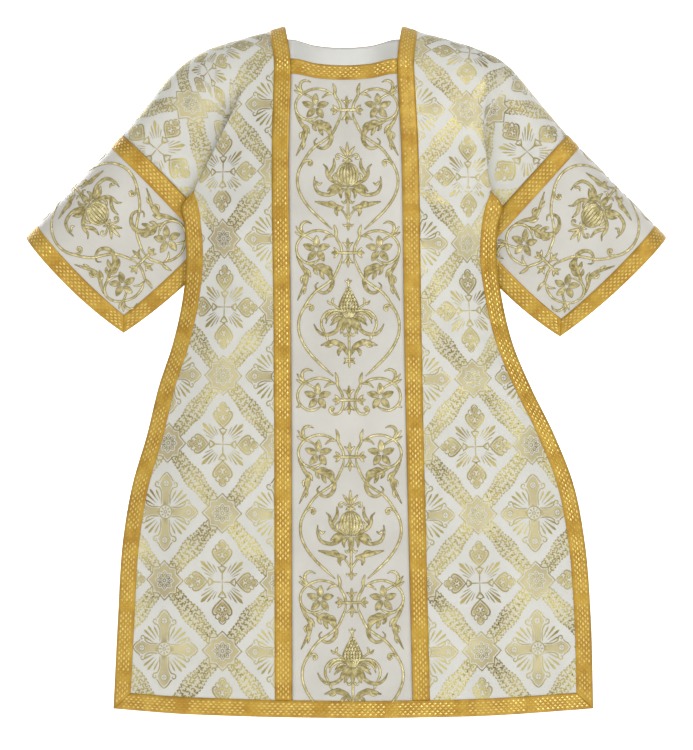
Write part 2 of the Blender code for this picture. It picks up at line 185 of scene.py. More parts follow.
# Sleeve panel outline seen from the front: out from the middle, down from the neck point
Sleeve = namedtuple("Sleeve", "name out_left drop_left out_right drop_right")
SLEEVE = (
    Sleeve("armhole_middle", 0.2655, 0.2540, 0.2650, 0.2468),
    Sleeve("armhole_low", 0.1820, 0.3450, 0.1850, 0.3370),
    Sleeve("cuff_middle", 0.4130, 0.4125, 0.4225, 0.4110),
    Sleeve("cuff_low", 0.3268, 0.4811, 0.3443, 0.4757),
    Sleeve("under_middle", 0.2534, 0.4235, 0.2647, 0.4144),
)
ARMHOLE_OUT = 0.3455
CUFF_OUT = 0.4965


def read(table, key, at, column):
    """Smooth curve through one named column of a table, at a value of its key column."""
    keys = [getattr(row, key) for row in table]
    values = [getattr(row, column) for row in table]
    last = len(keys) - 2
    index = 0
    while index < last and at > keys[index + 1]:
        index += 1

    def slope(row):
        before = max(row - 1, 0)
        after = min(row + 1, len(keys) - 1)
        return (values[after] - values[before]) / (keys[after] - keys[before])

    step = keys[index + 1] - keys[index]
    part = (at - keys[index]) / step
    start_slope = slope(index) * step
    end_slope = slope(index + 1) * step
    change = values[index + 1] - values[index]
    bend = 3.0 * change - 2.0 * start_slope - end_slope
    twist = start_slope + end_slope - 2.0 * change
    return values[index] + part * (start_slope + part * (bend + part * twist))


def mix(low, high, part):
    return low + (high - low) * part


def ridge(out):
    """Point of the shoulder ridge, seen from the front."""
    return Vector((out, -read(RIDGE, "out", out, "drop")))


def turned(fall, out):
    """How far the cloth has turned over the ridge, from 0 on it to 1 where it hangs."""
    height = mix(ROLL_AT_NECK, ROLL_AT_CUFF, min(out / CUFF_OUT, 1.0))
    rest = max(1.0 - fall / height, 0.0)
    return math.sqrt(1.0 - rest * rest)


def body_depth(face, out, edge, drop):
    """Distance of the front or back from the ridge plane, before the roll."""
    name = "front" if face == FRONT else "back"
    middle = read(LEVELS, "drop", drop, name + "_middle")
    side = read(LEVELS, "drop", drop, name + "_edge")
    return mix(middle, side, (out / edge) ** ROUNDNESS)


def fold_top(side_name):
    return getattr(FOLDS[0], side_name)


def top_out(side_name, column):
    """Where a body column starts on the ridge."""
    seam = LEVELS[0].seam
    if column <= SEAM:
        return seam * column / SEAM
    braid = seam + GALLOON
    if column == BRAID_EDGE:
        return braid
    part = (column - BRAID_EDGE) / (FOLD - BRAID_EDGE)
    return mix(braid, fold_top(side_name), part)


def row_drop(row):
    """Drop of a row below the armpit."""
    lower = LOWER_ROWS + (HEM_DROP - GALLOON, HEM_DROP)
    return lower[row - ARM_ROW - 1]


def body_point(side_name, face, row, column):
    """Body columns: out from the middle, depth, height."""
    if row <= ARM_ROW:
        along = UPPER_ROWS[row]
        start = max(top_out(side_name, column), LEVELS[0].seam)
        top = -ridge(start).y
        drop = mix(top, ARM_DROP, along)
        edge = read(FOLDS, "along", along, side_name)
        fold = edge
        fall = drop - top
    else:
        start = LEVELS[0].seam
        drop = row_drop(row)
        edge = read(EDGES, "drop", drop, side_name)
        fold = edge - GALLOON
        fall = drop
    seam = read(LEVELS, "drop", drop, "seam")
    if face == BACK:
        seam = max(seam, LEVELS[-1].seam - BACK_TAPER)
    if row == 0:
        seam = LEVELS[0].seam
    if column == SIDE_EDGE:
        out = edge
    elif column <= SEAM:
        out = seam * column / SEAM
    elif column == BRAID_EDGE:
        out = seam + GALLOON
    else:
        out = mix(seam + GALLOON, fold, (column - BRAID_EDGE) / (FOLD - BRAID_EDGE))
    if row == 0:
        out = top_out(side_name, column)
    depth = body_depth(face, out, edge, drop) * turned(fall, start)
    if column <= SEAM:
        neck = 1.0 - (column / SEAM) ** 2
        drop += NECK_SAG * neck * max(1.0 - fall / ARM_DROP, 0.0)
    if row >= HEM_ROW - 1:
        drop += HEM_SAG * (1.0 - (out / edge) ** 2)
    return Vector((out, face * depth, -drop))


def fold_point(side_name, face, row, column):
    """The two columns behind the armpit fold: they spread out where it has run out."""
    along = UPPER_ROWS[row]
    shut = read(FOLDS, "along", along, side_name + "_shut")
    open_part = max(1.0 - 2.0 * shut, 0.0)
    closed_part = max(2.0 * shut - 1.0, 0.0)
    count = column - FOLD
    at_fold = body_point(side_name, face, row, FOLD)
    top = fold_top(side_name)
    width = read(FOLDS, "along", along, side_name + "_width")
    shift = SPREAD * count * open_part - width * closed_part
    lift = (ridge(top + SPREAD * count).y - ridge(top).y) * (1.0 - along)
    depth = abs(at_fold.y) - LAYER * count * min(2.0 * shut, 1.0)
    if row == 0:
        shift = SPREAD * count
        depth = 0.0
    return Vector((at_fold.x + shift, face * depth, at_fold.z + lift))


def corner(side_name, name):
    """A named point of the sleeve panel's outline, seen from the front."""
    row = next(entry for entry in SLEEVE if entry.name == name)
    out = getattr(row, "out_" + side_name)
    drop = getattr(row, "drop_" + side_name)
    return Vector((out, -drop))


def through(start, middle, end, part):
    """Parabola through three points at 0, a half and 1."""
    return (
        start * (1.0 - part) * (1.0 - 2.0 * part)
        + middle * 4.0 * part * (1.0 - part)
        + end * part * (2.0 * part - 1.0)
    )


def armhole_line(side_name, along):
    low = corner(side_name, "armhole_low")
    return through(ridge(ARMHOLE_OUT), corner(side_name, "armhole_middle"), low, along)


def cuff_line(side_name, along):
    low = corner(side_name, "cuff_low")
    return through(ridge(CUFF_OUT), corner(side_name, "cuff_middle"), low, along)


def under_line(side_name, part):
    start = corner(side_name, "armhole_low")
    end = corner(side_name, "cuff_low")
    return through(start, corner(side_name, "under_middle"), end, part)


def sleeve_parts():
    """Part of the way from armhole to cuff of each sleeve column."""
    length = (ridge(CUFF_OUT) - ridge(ARMHOLE_OUT)).length
    braid = GALLOON / length
    inner = [mix(braid, 1.0 - braid, step / 4.0) for step in range(5)]
    return [0.0] + inner + [1.0]


def sleeve_place(side_name, part, along):
    """Sleeve panel seen from the front: a patch between its four edges."""
    top = ridge(mix(ARMHOLE_OUT, CUFF_OUT, part))
    across = mix(armhole_line(side_name, along), cuff_line(side_name, along), part)
    down = mix(top, under_line(side_name, part), along)
    high = mix(ridge(ARMHOLE_OUT), ridge(CUFF_OUT), part)
    low = mix(under_line(side_name, 0.0), under_line(side_name, 1.0), part)
    return across + down - mix(high, low, along)


def sleeve_depth(face, part, along):
    top = mix(ARMHOLE_TOP_DEPTH, CUFF_TOP_DEPTH, part)
    low = mix(ARMHOLE_LOW_DEPTH[face], CUFF_LOW_DEPTH, part)
    return mix(top, low, along)


def sleeve_point(side_name, face, row, column):
    """Sleeve columns, from behind the armpit fold to the cuff."""
    along = UPPER_ROWS[row]
    if face == BACK:
        along *= mix(1.0, BACK_FLAP, min((column - UNDER) / (ARMHOLE - UNDER), 1.0))
    if column >= ARMHOLE:
        part = sleeve_parts()[column - ARMHOLE]
        place = sleeve_place(side_name, part, along)
        top = ridge(mix(ARMHOLE_OUT, CUFF_OUT, part))
        depth = sleeve_depth(face, part, along)
    else:
        part = (column - UNDER) / (ARMHOLE - UNDER)
        under = fold_point(side_name, face, row, UNDER)
        under_top = fold_point(side_name, face, 0, UNDER)
        start = Vector((under.x, under.z))
        start_top = Vector((under_top.x, under_top.z))
        top = ridge(mix(start_top.x, ARMHOLE_OUT, part))
        chord_top = mix(start_top, ridge(ARMHOLE_OUT), part)
        place = mix(start, armhole_line(side_name, along), part)
        place += (top - chord_top) * (1.0 - along)
        start_fall = (start - start_top).length
        start_depth = abs(under.y) / max(turned(start_fall, start_top.x), 0.01)
        if row == 0:
            start_depth = LEVELS[0].front_edge
        depth = mix(start_depth, sleeve_depth(face, 0.0, along), part)
    fall = (place - top).length
    return Vector((place.x, face * depth * turned(fall, top.x), place.y))


def garment_point(row, column):
    """Any point of the garment; a negative column lies on the wearer's right."""
    side_name = "left" if column >= 0 else "right"
    face = FRONT if row >= 0 else BACK
    count = abs(column)
    level = abs(row)
    if count <= FOLD or count == SIDE_EDGE:
        point = body_point(side_name, face, level, count)
    elif count <= UNDER:
        point = fold_point(side_name, face, level, count)
    else:
        point = sleeve_point(side_name, face, level, count)
    point.x = point.x * SIDES[side_name] - DRIFT * point.z
    return point


# Fine net
MESH = 0.0065             # longest step of the net down the cloth
STRIP_STEPS = 8           # steps across a galloon
BODY_STEPS = 7            # steps between two columns elsewhere
FOLD_STEPS = 4
SLEEVE_STEPS = 6
LEAST_STEPS = 3           # between two rows, and beside the ridge
RIDGE_STEPS = 4

# Creases pressed into the net, seen from the front: middle line, half width, depth.
# They fade at both ends and near the plane between front and back, and widen from start to end.
CREASE_FADE = 14.0
CREASE_OVERRUN = 0.1
CREASE_WIDENING = 0.5
FLAT_DEPTH = 0.03         # the fade near that plane
Crease = namedtuple("Crease", "side start end width depth")
CREASES = (
    Crease(1, (0.2450, -0.045), (0.2380, -0.120), 0.009, 0.0040),
    Crease(-1, (0.2440, -0.045), (0.2400, -0.115), 0.010, 0.0045),
    Crease(1, (0.2000, -0.235), (0.1500, -0.345), 0.016, -0.0030),
    Crease(-1, (0.2080, -0.240), (0.1620, -0.330), 0.018, -0.0034),
    Crease(1, (0.2100, -0.285), (0.1760, -0.400), 0.013, 0.0026),
    Crease(-1, (0.2180, -0.290), (0.1850, -0.420), 0.014, 0.0026),
    Crease(1, (0.1500, -0.640), (0.1780, -1.052), 0.030, -0.0035),
    Crease(1, (0.2500, -0.700), (0.2950, -1.052), 0.034, 0.0040),
    Crease(-1, (0.1600, -0.600), (0.1850, -1.052), 0.032, 0.0034),
    Crease(-1, (0.2450, -0.680), (0.2800, -1.052), 0.030, -0.0036),
    Crease(1, (0.3000, -0.150), (0.2450, -0.245), 0.013, 0.0030),
    Crease(-1, (0.2950, -0.160), (0.2400, -0.240), 0.012, 0.0028),
    Crease(1, (0.4300, -0.300), (0.3100, -0.420), 0.020, 0.0026),
    Crease(-1, (0.4250, -0.310), (0.3050, -0.425), 0.022, 0.0026),
)

# Waves over the whole cloth: how high, how tight across and down, the sides' difference,
# the drop where they start and the height over which they grow
Wave = namedtuple("Wave", "height across down aside start growth")
WAVES = (
    Wave(0.0022, 23.0, 1.7, 1.0, 0.35, 0.5),
    Wave(0.0010, 9.0, 21.0, 1.3, 0.0, 0.3),
)


def slopes(knots, values):
    """Slope of the smooth curve at each knot, from the parabola through its neighbours."""
    steps = np.diff(knots)[:, None]
    rates = np.diff(values, axis=0) / steps
    inner = (rates[:-1] * steps[1:] + rates[1:] * steps[:-1]) / (steps[:-1] + steps[1:])
    return np.vstack([rates[:1], inner, rates[-1:]])


def smooth(knots, values, at):
    """A smooth curve through values at rising knots, read at other places."""
    knots = np.asarray(knots, float)
    values = np.asarray(values, float)
    at = np.asarray(at, float)
    index = np.clip(np.searchsorted(knots, at, side="right") - 1, 0, len(knots) - 2)
    step = (knots[index + 1] - knots[index])[:, None]
    part = (at[:, None] - knots[index][:, None]) / step
    slope = slopes(knots, values)
    low, high = values[index], values[index + 1]
    start, end = slope[index] * step, slope[index + 1] * step
    bend = 3.0 * (high - low) - 2.0 * start - end
    twist = start + end - 2.0 * (high - low)
    return low + part * (start + part * (bend + part * twist))


def chords(points):
    """Distance along a line of points, with no step left at zero."""
    steps = np.linalg.norm(np.diff(points, axis=0), axis=1)
    return np.concatenate([[0.0], np.cumsum(np.maximum(steps, 1e-6))])


def through_lattice(coarse, labels, wanted):
    """Points at fine labels on the smooth curve through points at whole labels."""
    along = chords(coarse)
    return smooth(along, coarse, np.interp(wanted, labels, along))


def split(first, last, steps):
    """Fine labels between whole ones, with their own number of steps in each interval."""
    labels = [float(first)]
    for label in range(first, last):
        count = steps(label)
        labels += [label + (step + 1) / count for step in range(count)]
    return labels


def row_steps(level):
    """Steps between two rows, by the length of cloth between them."""
    if level < ARM_ROW:
        length = ARM_DROP * (UPPER_ROWS[level + 1] - UPPER_ROWS[level])
    else:
        length = row_drop(level + 1) - (ARM_DROP if level == ARM_ROW else row_drop(level))
    if level in (HEM_ROW - 1, ARM_ROW - 1, FRONT_NECK_ROW, BACK_NECK_ROW):
        return STRIP_STEPS
    return max(RIDGE_STEPS if level == 0 else LEAST_STEPS, math.ceil(length / MESH))


def column_steps(column):
    if column in (SEAM, ARMHOLE, CUFF_BRAID):
        return STRIP_STEPS
    if FOLD <= column < UNDER:
        return FOLD_STEPS
    return BODY_STEPS if column < FOLD else SLEEVE_STEPS


FRONT_ROWS = split(0, HEM_ROW, row_steps)
ROWS = np.array([-row for row in reversed(FRONT_ROWS[1:])] + FRONT_ROWS)
COLUMNS = np.array(split(0, CUFF, column_steps))
EDGE_PARTS = np.linspace(0.0, 1.0, STRIP_STEPS + 1)[1:]


def row_index(row):
    return int(np.argmin(np.abs(ROWS - row)))


def column_index(column):
    """Place of a column in the net; past the sleeve comes the strip beside the side edge."""
    if column == SIDE_EDGE:
        return len(COLUMNS) + STRIP_STEPS - 1
    return int(np.argmin(np.abs(COLUMNS - column)))


def creased(points, side):
    """Presses the soft creases in: troughs and ridges that fade towards their ends."""
    across = points[..., 0] + DRIFT * points[..., 2]
    down = points[..., 2]
    push = np.zeros_like(down)
    for crease in CREASES:
        if crease.side != side:
            continue
        start = np.array((side * crease.start[0], crease.start[1]))
        run = np.array((side * crease.end[0], crease.end[1])) - start
        length = np.linalg.norm(run)
        part = ((across - start[0]) * run[0] + (down - start[1]) * run[1]) / length ** 2
        aside = ((across - start[0]) * run[1] - (down - start[1]) * run[0]) / length
        inside = np.minimum(part + CREASE_OVERRUN, 1.0 + CREASE_OVERRUN - part)
        ends = 1.0 / (1.0 + np.exp(-CREASE_FADE * inside))
        width = crease.width * (1.0 + CREASE_WIDENING * np.clip(part, 0.0, 1.0))
        push += crease.depth * ends * np.exp(-((aside / width) ** 2))
    for wave in WAVES:
        phase = across * wave.across + down * wave.down + side * wave.aside
        push += wave.height * np.sin(phase) * np.clip((-down - wave.start) / wave.growth, 0, 1)
    away = np.clip(np.abs(points[..., 1]) / FLAT_DEPTH, 0.0, 1.0)
    points[..., 1] -= np.sign(points[..., 1]) * push * away
    return points


def side_net(side):
    """Fine points of one side: rows by columns, with the side strip last."""
    rows = np.arange(-HEM_ROW, HEM_ROW + 1)
    arm_rows = np.arange(-ARM_ROW, ARM_ROW + 1)
    lattice = {}
    for column in list(range(-SEAM, 0)) + list(range(FOLD + 1)):
        coarse = np.array([garment_point(int(row), side * column) for row in rows])
        lattice[column] = through_lattice(coarse, rows, ROWS)
    inner = np.abs(ROWS) <= ARM_ROW
    for column in range(FOLD + 1, CUFF + 1):
        coarse = np.array([garment_point(int(row), side * column) for row in arm_rows])
        line = np.full((len(ROWS), 3), np.nan)
        line[inner] = through_lattice(coarse, arm_rows, ROWS[inner])
        lattice[column] = line
    edge = np.full((len(ROWS), 3), np.nan)
    for sign in (1, -1):
        low_rows = np.arange(ARM_ROW, HEM_ROW + 1)
        coarse = [garment_point(sign * ARM_ROW, side * FOLD)]
        coarse += [garment_point(int(sign * row), side * SIDE_EDGE) for row in low_rows[1:]]
        wanted = sign * ROWS >= ARM_ROW
        edge[wanted] = through_lattice(np.array(coarse), low_rows, sign * ROWS[wanted])
    net = np.full((len(ROWS), len(COLUMNS) + STRIP_STEPS, 3), np.nan)
    for index in range(len(ROWS)):
        last = CUFF if inner[index] else FOLD
        labels = np.arange(-SEAM, last + 1)
        coarse = np.array([lattice[column][index] for column in labels])
        wanted = COLUMNS <= last
        net[index, :len(COLUMNS)][wanted] = through_lattice(coarse, labels, COLUMNS[wanted])
        if abs(ROWS[index]) >= ARM_ROW:
            fold = net[index, column_index(FOLD)]
            part = EDGE_PARTS[:, None]
            net[index, len(COLUMNS):] = fold * (1.0 - part) + edge[index] * part
    return creased(net, side)


def cell_corners(table):
    """The four corners of every cell of a table, in order round it."""
    return [table[:-1, :-1], table[:-1, 1:], table[1:, 1:], table[1:, :-1]]


class Net:
    """The whole garment as one table of points, with shared outward directions."""

    def __init__(self):
        nets = {side: side_net(side) for side in SIDES.values()}
        middle = 0.5 * (nets[1][:, 0] + nets[-1][:, 0])
        shape = nets[1].shape[:2]
        self.places = {}
        points = []
        for side in SIDES.values():
            nets[side][:, 0] = middle
            places = np.arange(shape[0] * shape[1]).reshape(shape) + len(points) * shape[0] * shape[1]
            points.append(nets[side].reshape(-1, 3))
            self.places[side] = places
        self.places[-1][:, 0] = self.places[1][:, 0]
        for side in SIDES.values():
            for sign in (1, -1):
                tip = self.places[side][row_index(sign * ARM_ROW)]
                tip[len(COLUMNS):] = tip[column_index(FOLD)]
        self.points = np.vstack(points)
        self.normals = np.zeros_like(self.points)
        for cells in self.all_cells():
            self.add_normals(cells)
        length = np.linalg.norm(self.normals, axis=1, keepdims=True)
        self.normals /= np.maximum(length, 1e-12)
        fold = column_index(FOLD)
        for side in SIDES.values():
            for sign in (1, -1):
                row = row_index(sign * ARM_ROW)
                above = self.normals[self.places[side][row - sign, fold]]
                self.normals[self.places[side][row, fold]] = above

    def add_normals(self, cells):
        corner = self.points[cells]
        facing = np.cross(corner[:, 2] - corner[:, 0], corner[:, 3] - corner[:, 1])
        facing /= np.maximum(np.linalg.norm(facing, axis=1, keepdims=True), 1e-12)
        for place in range(4):
            np.add.at(self.normals, cells[:, place], facing)

    def block(self, side, rows, columns):
        """Cells between two rows and two columns of one side, each facing outward."""
        first, last = sorted((row_index(rows[0]), row_index(rows[1])))
        table = self.table(side, columns)[first:last + 1]
        corners = cell_corners(table)
        if side > 0:
            corners.reverse()
        return np.stack([corner.reshape(-1) for corner in corners], axis=1)

    def table(self, side, columns):
        """Places of all rows, from one column to another of one side."""
        low, high = column_index(columns[0]), column_index(columns[1])
        if columns[1] == SIDE_EDGE:
            picked = [column_index(FOLD)] + list(range(len(COLUMNS), high + 1))
        else:
            picked = list(range(low, high + 1))
        return self.places[side][:, picked]

    def all_cells(self):
        cells = []
        for side in SIDES.values():
            cells.append(self.block(side, (-ARM_ROW, ARM_ROW), (SEAM, CUFF)))
            for sign in (1, -1):
                low = (sign * ARM_ROW, sign * HEM_ROW)
                cells.append(self.block(side, low, (SEAM, FOLD)))
                cells.append(self.block(side, low, (FOLD, SIDE_EDGE)))
                cells.append(self.block(side, (sign * NECK_ROWS[sign], sign * HEM_ROW), (0, SEAM)))
        return cells


NET = Net()
# Flat places of the net's points on the cloth, for its weave
FLAT = np.nan_to_num(np.column_stack([NET.points[:, 0] + DRIFT * NET.points[:, 2], -NET.points[:, 2]]))


# Pieces of cloth
def add_piece(name, points, faces, materials, picks, flat):
    """A mesh object that rides on the garment, from arrays of points and faces."""
    mesh = bpy.data.meshes.new(name)
    mesh.from_pydata(points.tolist(), [], [list(face) for face in faces])
    for material in materials:
        mesh.materials.append(material)
    mesh.polygons.foreach_set("material_index", np.asarray(picks, dtype=np.int32))
    mesh.polygons.foreach_set("use_smooth", np.ones(len(mesh.polygons), bool))
    layer = mesh.uv_layers.new(name="cloth")
    corners = np.zeros(len(mesh.loops), dtype=np.int32)
    mesh.loops.foreach_get("vertex_index", corners)
    layer.data.foreach_set("uv", flat[corners].astype(np.float32).ravel())
    mesh.update()
    piece = bpy.data.objects.new(name, mesh)
    bpy.context.scene.collection.objects.link(piece)
    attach(piece, "root")
    return piece


def stands_for(piece, node_name):
    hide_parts(node_name)
    return piece


def rim_of(cells):
    """Edges that only one cell has, in the cell's own direction."""
    cells = [tuple(dict.fromkeys(cell)) for cell in cells.tolist()]
    open_edges = {}
    for cell in cells:
        for start, end in zip(cell, cell[1:] + cell[:1]):
            if (end, start) in open_edges:
                del open_edges[(end, start)]
            else:
                open_edges[(start, end)] = True
    return cells, list(open_edges)


def wall(cells, low, high):
    """A closed wall over some cells of the net, between two heights above it.

    A height is one number, or a table with a height for every point of the net."""
    used = np.unique(cells)
    places = np.full(len(NET.points), -1)
    places[used] = np.arange(len(used))
    cells, rim = rim_of(places[cells])
    count = len(used)
    high = high[used] if isinstance(high, np.ndarray) else np.full(count, high)
    outer = NET.points[used] + NET.normals[used] * high[:, None]
    inner = NET.points[used] + NET.normals[used] * low
    outside = [cell for cell in cells if len(cell) > 2]
    inside = [tuple(place + count for place in reversed(cell)) for cell in outside]
    edges = [(end, start, start + count, end + count) for start, end in rim]
    faces = outside + inside + edges
    picks = [0] * len(outside) + [1] * len(inside) + [0] * len(edges)
    return np.vstack([outer, inner]), faces, picks, np.concatenate([used, used])


def panel(name, kind, cells, cloth):
    """A panel: its cloth outside and the plain lining inside."""
    points, faces, picks, used = wall(cells, -CLOTH, 0.0)
    piece = add_piece(name + kind, points, faces, [cloth, LINING], picks, FLAT[used])
    return stands_for(piece, name)


# Materials.  A patch number says how many times a metre the tone wanders.
CLOTH_SHEEN = 0.1
CLOTH_PATCHES = 14.0
CLOTH_RELIEF = 0.25
CLOTH_RIDGE = 0.0002      # height of the cloth's threads
WEFT_SHARE = 0.8          # the weft's pitch against the warp's
FINE_PATCHES = 160.0
GALLOON_PATCHES = 45.0
# The woven golds' tone wanders in broad patches of painted highlight and shade, for the sheen of flat metal
# thread.
WOVEN_SHEEN_PATCHES = 13.0
THREAD_RIDGE = 0.0003     # height of the metal threads


def shader_of(name, colour, roughness, metallic=0.0, sheen=0.0):
    material = bpy.data.materials.new(name)
    material.use_nodes = True
    shader = material.node_tree.nodes["Principled BSDF"]
    shader.inputs["Base Color"].default_value = (*colour, 1.0)
    shader.inputs["Roughness"].default_value = roughness
    shader.inputs["Metallic"].default_value = metallic
    shader.inputs["Sheen Weight"].default_value = sheen
    return material, shader


def node(material, kind, **values):
    """A new node, with some of its settings and unlinked inputs."""
    made = material.node_tree.nodes.new(kind)
    for key, value in values.items():
        if hasattr(made, key):
            setattr(made, key, value)
        else:
            made.inputs[key.replace("_", " ")].default_value = value
    return made


def mottled(material, shader, scale, low, high):
    """Colour that wanders a little between two tones."""
    tree = material.node_tree
    source = node(material, "ShaderNodeTexCoord")
    noise = node(material, "ShaderNodeTexNoise", Scale=scale, Detail=3.0)
    ramp = node(material, "ShaderNodeValToRGB")
    ramp.color_ramp.elements[0].position = 0.35
    ramp.color_ramp.elements[1].position = 0.65
    ramp.color_ramp.elements[0].color = (*low, 1.0)
    ramp.color_ramp.elements[1].color = (*high, 1.0)
    tree.links.new(source.outputs["Object"], noise.inputs["Vector"])
    tree.links.new(noise.outputs["Fac"], ramp.inputs["Fac"])
    tree.links.new(ramp.outputs["Color"], shader.inputs["Base Color"])


def bumped(material, shader, heights, strength, distance):
    """Bump from the sum of some height outputs."""
    tree = material.node_tree
    total = heights[0]
    for height in heights[1:]:
        add = node(material, "ShaderNodeMath", operation="ADD")
        tree.links.new(total, add.inputs[0])
        tree.links.new(height, add.inputs[1])
        total = add.outputs[0]
    bump = node(material, "ShaderNodeBump", Strength=strength, Distance=distance)
    tree.links.new(total, bump.inputs["Height"])
    tree.links.new(bump.outputs["Normal"], shader.inputs["Normal"])


def threads(material, direction, pitch):
    """Height of threads that lie side by side, on the cloth's own flat places."""
    source = node(material, "ShaderNodeUVMap", uv_map="cloth")
    scale = math.pi / (10.0 * pitch)
    wave = node(material, "ShaderNodeTexWave", bands_direction=direction, Scale=scale)
    material.node_tree.links.new(source.outputs["UV"], wave.inputs["Vector"])
    return wave.outputs["Fac"]


def cloth_material(name, low, high, roughness, pitch):
    """Plain cloth: warp and weft show as very fine ridges."""
    material, shader = shader_of(name, high, roughness, sheen=CLOTH_SHEEN)
    mottled(material, shader, CLOTH_PATCHES, low, high)
    weave = [threads(material, "X", pitch), threads(material, "Y", pitch * WEFT_SHARE)]
    bumped(material, shader, weave, CLOTH_RELIEF, CLOTH_RIDGE)
    return material


def gold_material(name, low, high, gloss, thread, patches=FINE_PATCHES):
    """Metal thread: its tone wanders between a darker and a brighter tone, partly the thread's own
    unevenness and partly painted shade and highlight of the metal, and the threads show as fine ridges.

    The gloss is a roughness and a share of metal, the thread a pitch and a relief."""
    material, shader = shader_of(name, high, *gloss)
    mottled(material, shader, patches, low, high)
    bumped(material, shader, [threads(material, "DIAGONAL", thread[0])], thread[1], THREAD_RIDGE)
    return material


SATIN = cloth_material("satin_cloth", (0.505, 0.483, 0.433), (0.560, 0.538, 0.482), 0.42, 0.0009)
BROCADE = cloth_material("brocade_cloth", (0.550, 0.542, 0.490), (0.592, 0.585, 0.535), 0.45, 0.0008)
LINING = cloth_material("lining_cloth", (0.680, 0.678, 0.645), (0.730, 0.728, 0.695), 0.55, 0.0007)
GALLOON_WEAVE = gold_material(
    "galloon_weave", (0.38, 0.200, 0.015), (0.50, 0.305, 0.035), (0.42, 0.40), (0.0016, 0.5),
    GALLOON_PATCHES)
GALLOON_NET = gold_material(
    "galloon_net", (0.42, 0.240, 0.022), (0.54, 0.345, 0.05), (0.42, 0.40), (0.0016, 0.5),
    GALLOON_PATCHES)
# The bright lozenges' tone is partly a painted highlight, over their shinier thread.
GALLOON_GLINT = gold_material(
    "galloon_glint", (0.52, 0.35, 0.065), (0.72, 0.55, 0.18), (0.30, 0.55), (0.0010, 0.2))
# The stitches' brightest tone is partly a painted highlight, the glint of the thread.
STITCH = gold_material("stitch", (0.38, 0.315, 0.13), (0.72, 0.64, 0.36), (0.27, 0.65), (0.0011, 1.0), 120.0)
MATT_STITCH = gold_material(
    "matt_stitch", (0.25, 0.200, 0.065), (0.58, 0.50, 0.25), (0.42, 0.45), (0.0011, 1.0), 170.0)
# The stitches' dark edge is painted shade, where they turn down to the cloth and in the gaps between them.
STITCH_EDGE_SHADE = gold_material(
    "stitch_edge_shade", (0.17, 0.135, 0.045), (0.26, 0.21, 0.08), (0.5, 0.30), (0.0011, 0.3))
WOVEN_GOLD = gold_material(
    "woven_gold", (0.25, 0.195, 0.065), (0.62, 0.53, 0.20), (0.34, 0.55), (0.0009, 0.3), WOVEN_SHEEN_PATCHES)
PALE_GOLD = gold_material(
    "pale_gold", (0.40, 0.335, 0.18), (0.57, 0.505, 0.275), (0.42, 0.30), (0.0012, 0.5), WOVEN_SHEEN_PATCHES)
THIN_GOLD = gold_material(
    "thin_gold", (0.51, 0.480, 0.37), (0.59, 0.565, 0.45), (0.45, 0.15), (0.0012, 0.4), WOVEN_SHEEN_PATCHES)


# Surroundings
FLOOR_LEVEL = -HEM_DROP - 0.35
STAGE_REACH = 12.0        # the floor's half width, and how far it runs to the front
STAGE_BACK = 8.0
STAGE_TOP = 6.0
FLOOR_GLOW = 0.50
BACKDROP_GLOW = 1.0
SKY_TINT = (0.97, 0.985, 1.0, 1.0)
SKY_STRENGTH = 0.63
MIDDLE = (0.0, 0.0, -HEM_DROP / 2)
# The last lamp stands in the hollow, under the neck
Lamp = namedtuple("Lamp", "name place target size power")
LAMPS = (
    Lamp("key", (2.0, -3.2, 1.6), MIDDLE, 1.4, 50.0),
    Lamp("fill", (-2.4, -3.0, 0.4), MIDDLE, 2.0, 12.0),
    Lamp("top", (0.2, -0.6, 2.4), MIDDLE, 1.4, 9.0),
    Lamp("back", (-1.6, 3.0, 1.2), MIDDLE, 1.6, 36.0),
    Lamp("inside", (0.0, 0.0, -0.22), (0.0, 0.05, -0.03), 0.10, 0.18),
)
CAMERA_PLACE = (0.0047, -4.5, -0.5402)
CAMERA_LENS = 139.0


def glowing_sheet(name, points, strength):
    """A white four-sided surface that gives some light of its own."""
    material, shader = shader_of(name, (0.93, 0.93, 0.93), 0.9)
    shader.inputs["Emission Color"].default_value = (1.0, 1.0, 1.0, 1.0)
    shader.inputs["Emission Strength"].default_value = strength
    mesh = bpy.data.meshes.new(name)
    mesh.from_pydata(points, [], [(0, 1, 2, 3)])
    mesh.materials.append(material)
    made = bpy.data.objects.new(name, mesh)
    bpy.context.scene.collection.objects.link(made)


def surroundings():
    """A pale floor, a white backdrop far behind, and soft lights."""
    near = [(x, -STAGE_REACH, FLOOR_LEVEL) for x in (-STAGE_REACH, STAGE_REACH)]
    foot = [(x, STAGE_BACK, FLOOR_LEVEL) for x in (STAGE_REACH, -STAGE_REACH)]
    head = [(x, STAGE_BACK, STAGE_TOP) for x in (STAGE_REACH, -STAGE_REACH)]
    glowing_sheet("floor", near + foot, FLOOR_GLOW)
    glowing_sheet("backdrop", foot[::-1] + head, BACKDROP_GLOW)
    world = bpy.data.worlds.new("soft light")
    world.use_nodes = True
    sky = world.node_tree.nodes["Background"]
    sky.inputs["Color"].default_value = SKY_TINT
    sky.inputs["Strength"].default_value = SKY_STRENGTH
    bpy.context.scene.world = world
    for lamp in LAMPS:
        data = bpy.data.lights.new(lamp.name, "AREA")
        data.size = lamp.size
        data.energy = lamp.power
        light = bpy.data.objects.new(lamp.name, data)
        light.location = lamp.place
        aim = Vector(lamp.target) - light.location
        light.rotation_euler = aim.to_track_quat("-Z", "Y").to_euler()
        light.visible_camera = False
        bpy.context.scene.collection.objects.link(light)
    bpy.context.scene.view_settings.view_transform = "Standard"


def camera():
    data = bpy.data.cameras.new("camera")
    data.lens = CAMERA_LENS
    eye = bpy.data.objects.new("camera", data)
    eye.location = CAMERA_PLACE
    eye.rotation_euler = (math.pi / 2, 0.0, 0.0)
    bpy.context.scene.collection.objects.link(eye)
    bpy.context.scene.camera = eye


